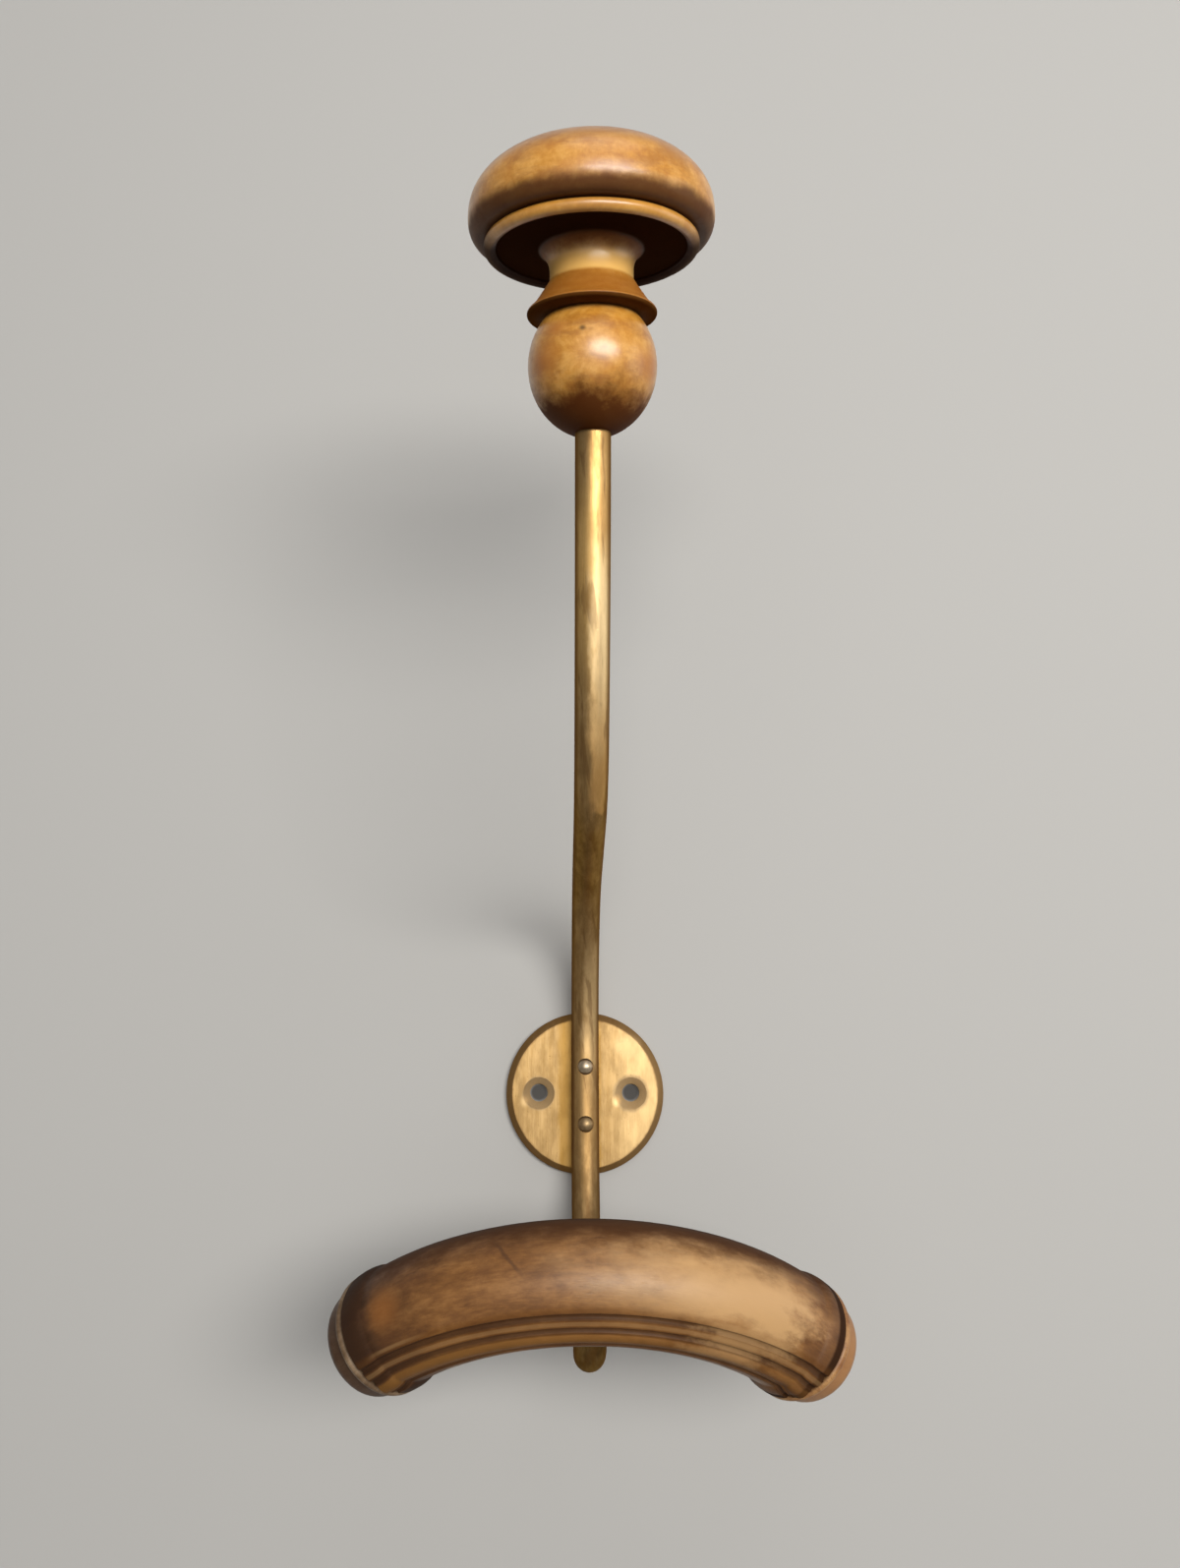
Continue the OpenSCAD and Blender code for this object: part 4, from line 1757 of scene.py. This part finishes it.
@dataclass
class Studio:
    """The plain pale wall and floor, the soft light and the camera."""

    wall_gap: float = 0.0003
    wall_half: float = 1.5
    floor_up: float = -0.6
    floor_reach: float = 1.5
    fold_round: float = 0.3
    pale: Colour = (0.42, 0.415, 0.405)
    # Painted shade on the wall behind the plate's two screw holes
    hole_r: float = 0.0034
    hole_painted_shade: Colour = (0.07, 0.068, 0.066)
    # Even light from straight below and from straight above
    world_levels: tuple[float, float] = (0.08, 0.22)
    # Even light from behind, which only views of the back see
    back_level: float = 0.65
    # How pale the background past the backdrop is at least
    seen_level: float = 0.34
    camera_place: tuple[float, float, float] = (-0.00695, -0.3626, 0.0295)
    camera_tilt: float = 100.0
    # Focal length and sideways offset of the picture's middle, in the photograph's pixels
    photo_size: tuple[int, int] = (1200, 1595)
    photo_focal: float = 1200.0
    photo_offset: float = 29.0
    sensor: float = 36.0
    lamps: tuple[SoftLamp, ...] = (
        SoftLamp("wide_front", (0.0, -1.25, 0.12), 1.6, 3.5, colour=(1.0, 0.985, 0.96)),
        SoftLamp("key", (0.36, -1.26, 0.27), 1.15, 17.0, flat=0.36, colour=(1.0, 0.97, 0.92)),
        SoftLamp("overhead", (0.12, -0.68, 1.0), 0.8, 2.0),
        SoftLamp("right_fill", (1.05, -0.3, 0.2), 0.8, 2.0),
    )

    def backdrop(self) -> None:
        """Makes the wall behind the plate, rounded into a floor below it."""
        deselect()
        bpy.ops.mesh.primitive_plane_add(size=1)
        sheet = bpy.context.object
        sheet.name = "backdrop"
        wide, top = self.wall_half, self.wall_half
        corners = [
            (-wide, self.wall_gap, self.floor_up),
            (wide, self.wall_gap, self.floor_up),
            (-wide, self.wall_gap, top),
            (wide, self.wall_gap, top),
        ]
        for point, corner in zip(sheet.data.vertices, corners):
            point.co = corner
        edit(sheet)
        select_points(sheet, lambda co: co.z < 0)
        bpy.ops.mesh.extrude_edges_move(TRANSFORM_OT_translate={"value": (0, -self.floor_reach, 0)})
        select_points(sheet, lambda co: co.z < 0 and co.y > -WELD)
        bpy.ops.mesh.bevel(offset=self.fold_round, segments=24, affect="EDGES")
        bpy.ops.object.mode_set(mode="OBJECT")
        bpy.ops.object.shade_smooth()
        sheet.data.materials.append(self.backdrop_material())

    def backdrop_material(self) -> bpy.types.Material:
        """Makes a matt pale material that is clear from behind, so that back views see the object.

        Returns:
            The material.
        """
        material, bench, shader = new_material("pale_backdrop")
        place = bench.add("ShaderNodeTexCoord").outputs["Object"]
        colour: Any = rgba(self.pale)
        # Painted shade on the wall behind the screw holes
        for side in Side:
            centre = (side.value * SCREW_SPACING / 2, 0, 0)
            hole = bench.spot(place, centre, (self.hole_r,) * 3, 0.45)
            colour = bench.mix(hole, colour, self.hole_painted_shade)
        bench.feed(shader.inputs["Base Color"], colour)
        shader.inputs["Roughness"].default_value = 0.9
        shader.inputs["Specular IOR Level"].default_value = 0.2
        clear = bench.add("ShaderNodeBsdfTransparent").outputs[0]
        behind = bench.add("ShaderNodeNewGeometry").outputs["Backfacing"]
        shown = bench.times(bench.seen(), bench.minus(1.0, behind))
        mixed = bench.add("ShaderNodeMixShader", {0: shown, 1: clear, 2: shader.outputs[0]})
        bench.feed(material.node_tree.nodes["Material Output"].inputs["Surface"], mixed.outputs[0])
        return material

    def world(self) -> None:
        """Makes the even light all round, which is also the background past the backdrop."""
        world = bpy.data.worlds.new("even_light")
        world.use_nodes = True
        bench = Bench(world.node_tree)
        direction = bench.add("ShaderNodeTexCoord").outputs["Generated"]
        _, y, z = bench.split(direction)
        level = bench.window(z, -0.7, 0.8, *self.world_levels)
        level = bench.plus(level, bench.window(y, 0.1, 0.9, 0, self.back_level))
        level = bench.math("MAXIMUM", level, bench.times(bench.seen(), self.seen_level))
        background = world.node_tree.nodes["Background"]
        background.inputs["Color"].default_value = (1, 1, 1, 1)
        bench.feed(background.inputs["Strength"], level)
        bpy.context.scene.world = world

    def camera(self) -> None:
        """Sets the camera where the photograph was taken from."""
        data = bpy.data.cameras.new("photo_camera")
        tall = max(self.photo_size)
        data.sensor_width = self.sensor
        data.lens = self.sensor * self.photo_focal / tall
        data.shift_x = self.photo_offset / tall
        data.clip_start, data.clip_end = 0.01, 20
        camera = bpy.data.objects.new("photo_camera", data)
        camera.location = self.camera_place
        camera.rotation_euler = (math.radians(self.camera_tilt), 0, 0)
        bpy.context.scene.collection.objects.link(camera)
        bpy.context.scene.camera = camera

    def build(self) -> None:
        """Sets up the whole studio."""
        self.backdrop()
        self.world()
        for lamp in self.lamps:
            lamp.build()
        self.camera()
        bpy.context.scene.view_settings.view_transform = "Standard"
        LOG.info("studio: %d lamps", len(self.lamps))


PLATE_BRASS = BrassFinish(
    "plate_brass",
    bright=(0.47, 0.315, 0.142),
    middle=(0.35, 0.22, 0.085),
    tarnish=(0.22, 0.13, 0.045),
    gloss=0.48,
    tarnish_share=0.45,
)
ROD_BRASS = BrassFinish(
    "rod_brass",
    bright=(0.76, 0.52, 0.25),
    middle=(0.42, 0.27, 0.11),
    tarnish=(0.13, 0.075, 0.03),
    gloss=0.38,
    tarnish_share=0.75,
)
UPPER_RIVET_BRASS = BrassFinish(
    "upper_rivet_brass",
    bright=(0.56, 0.46, 0.34),
    middle=(0.42, 0.33, 0.22),
    tarnish=(0.24, 0.18, 0.11),
    gloss=0.36,
    tarnish_share=0.4,
)
LOWER_RIVET_BRASS = BrassFinish(
    "lower_rivet_brass",
    bright=(0.42, 0.3, 0.16),
    middle=(0.3, 0.2, 0.1),
    tarnish=(0.16, 0.1, 0.05),
    gloss=0.44,
    tarnish_share=0.6,
)
KNOB_WOOD = WoodFinish(
    "knob_wood",
    light=(0.64, 0.33, 0.075),
    middle=(0.54, 0.245, 0.035),
    dark=(0.44, 0.17, 0.014),
    stain=(0.26, 0.085, 0.007),
    fineness=0.75,
    blotch=0.6,
    pores=0.05,
    grain=0.33,
    gloss=0.32,
    coat=0.55,
    coat_gloss=0.26,
    shine=0.5,
    relief=0.08,
    grain_turn=(0, 90, 0),
)
ARCH_WOOD = WoodFinish(
    "arch_wood",
    light=(0.27, 0.125, 0.036),
    middle=(0.19, 0.08, 0.02),
    dark=(0.11, 0.042, 0.009),
    stain=(0.085, 0.028, 0.006),
    blotch=0.5,
    pores=0.3,
    gloss=0.44,
    coat=0.15,
    coat_gloss=0.4,
    shine=0.35,
)
LEFT_CAP_WOOD = WoodFinish(
    "left_cap_wood",
    light=(0.24, 0.165, 0.1),
    middle=(0.17, 0.11, 0.062),
    dark=(0.1, 0.06, 0.03),
    stain=(0.06, 0.03, 0.014),
    gloss=0.46,
    coat=0.05,
    shine=0.25,
    grain_turn=(0, 90, 0),
)
RIGHT_CAP_WOOD = WoodFinish(
    "right_cap_wood",
    light=(0.42, 0.23, 0.09),
    middle=(0.32, 0.16, 0.055),
    dark=(0.15, 0.06, 0.018),
    stain=(0.17, 0.06, 0.02),
    gloss=0.44,
    coat=0.15,
    shine=0.35,
    grain_turn=(0, 90, 0),
)
RIGHT_BOSS: Colour = (0.3, 0.14, 0.05)


def main() -> None:
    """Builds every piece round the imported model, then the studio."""
    logging.basicConfig(level=logging.INFO, format="%(name)s: %(message)s")
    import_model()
    path = RodPath()
    WallPlate(PLATE_BRASS).build()
    HookRod(ROD_BRASS, path).build()
    Rivet(UPPER_RIVET_BRASS, "upper_rivet", RIVET_SPACING / 2).build()
    Rivet(LOWER_RIVET_BRASS, "lower_rivet", -RIVET_SPACING / 2).build()
    HatKnob(KNOB_WOOD, path).build()
    arch = CoatArch(ARCH_WOOD, path)
    arch.build()
    EndCap(LEFT_CAP_WOOD, "left_end_cap", arch.end_place(Side.LEFT)).build()
    right_place = arch.end_place(Side.RIGHT)
    EndCap(RIGHT_CAP_WOOD, "right_end_cap", right_place, boss_colour=RIGHT_BOSS).build()
    Studio().build()


if __name__ == "__main__":
    main()
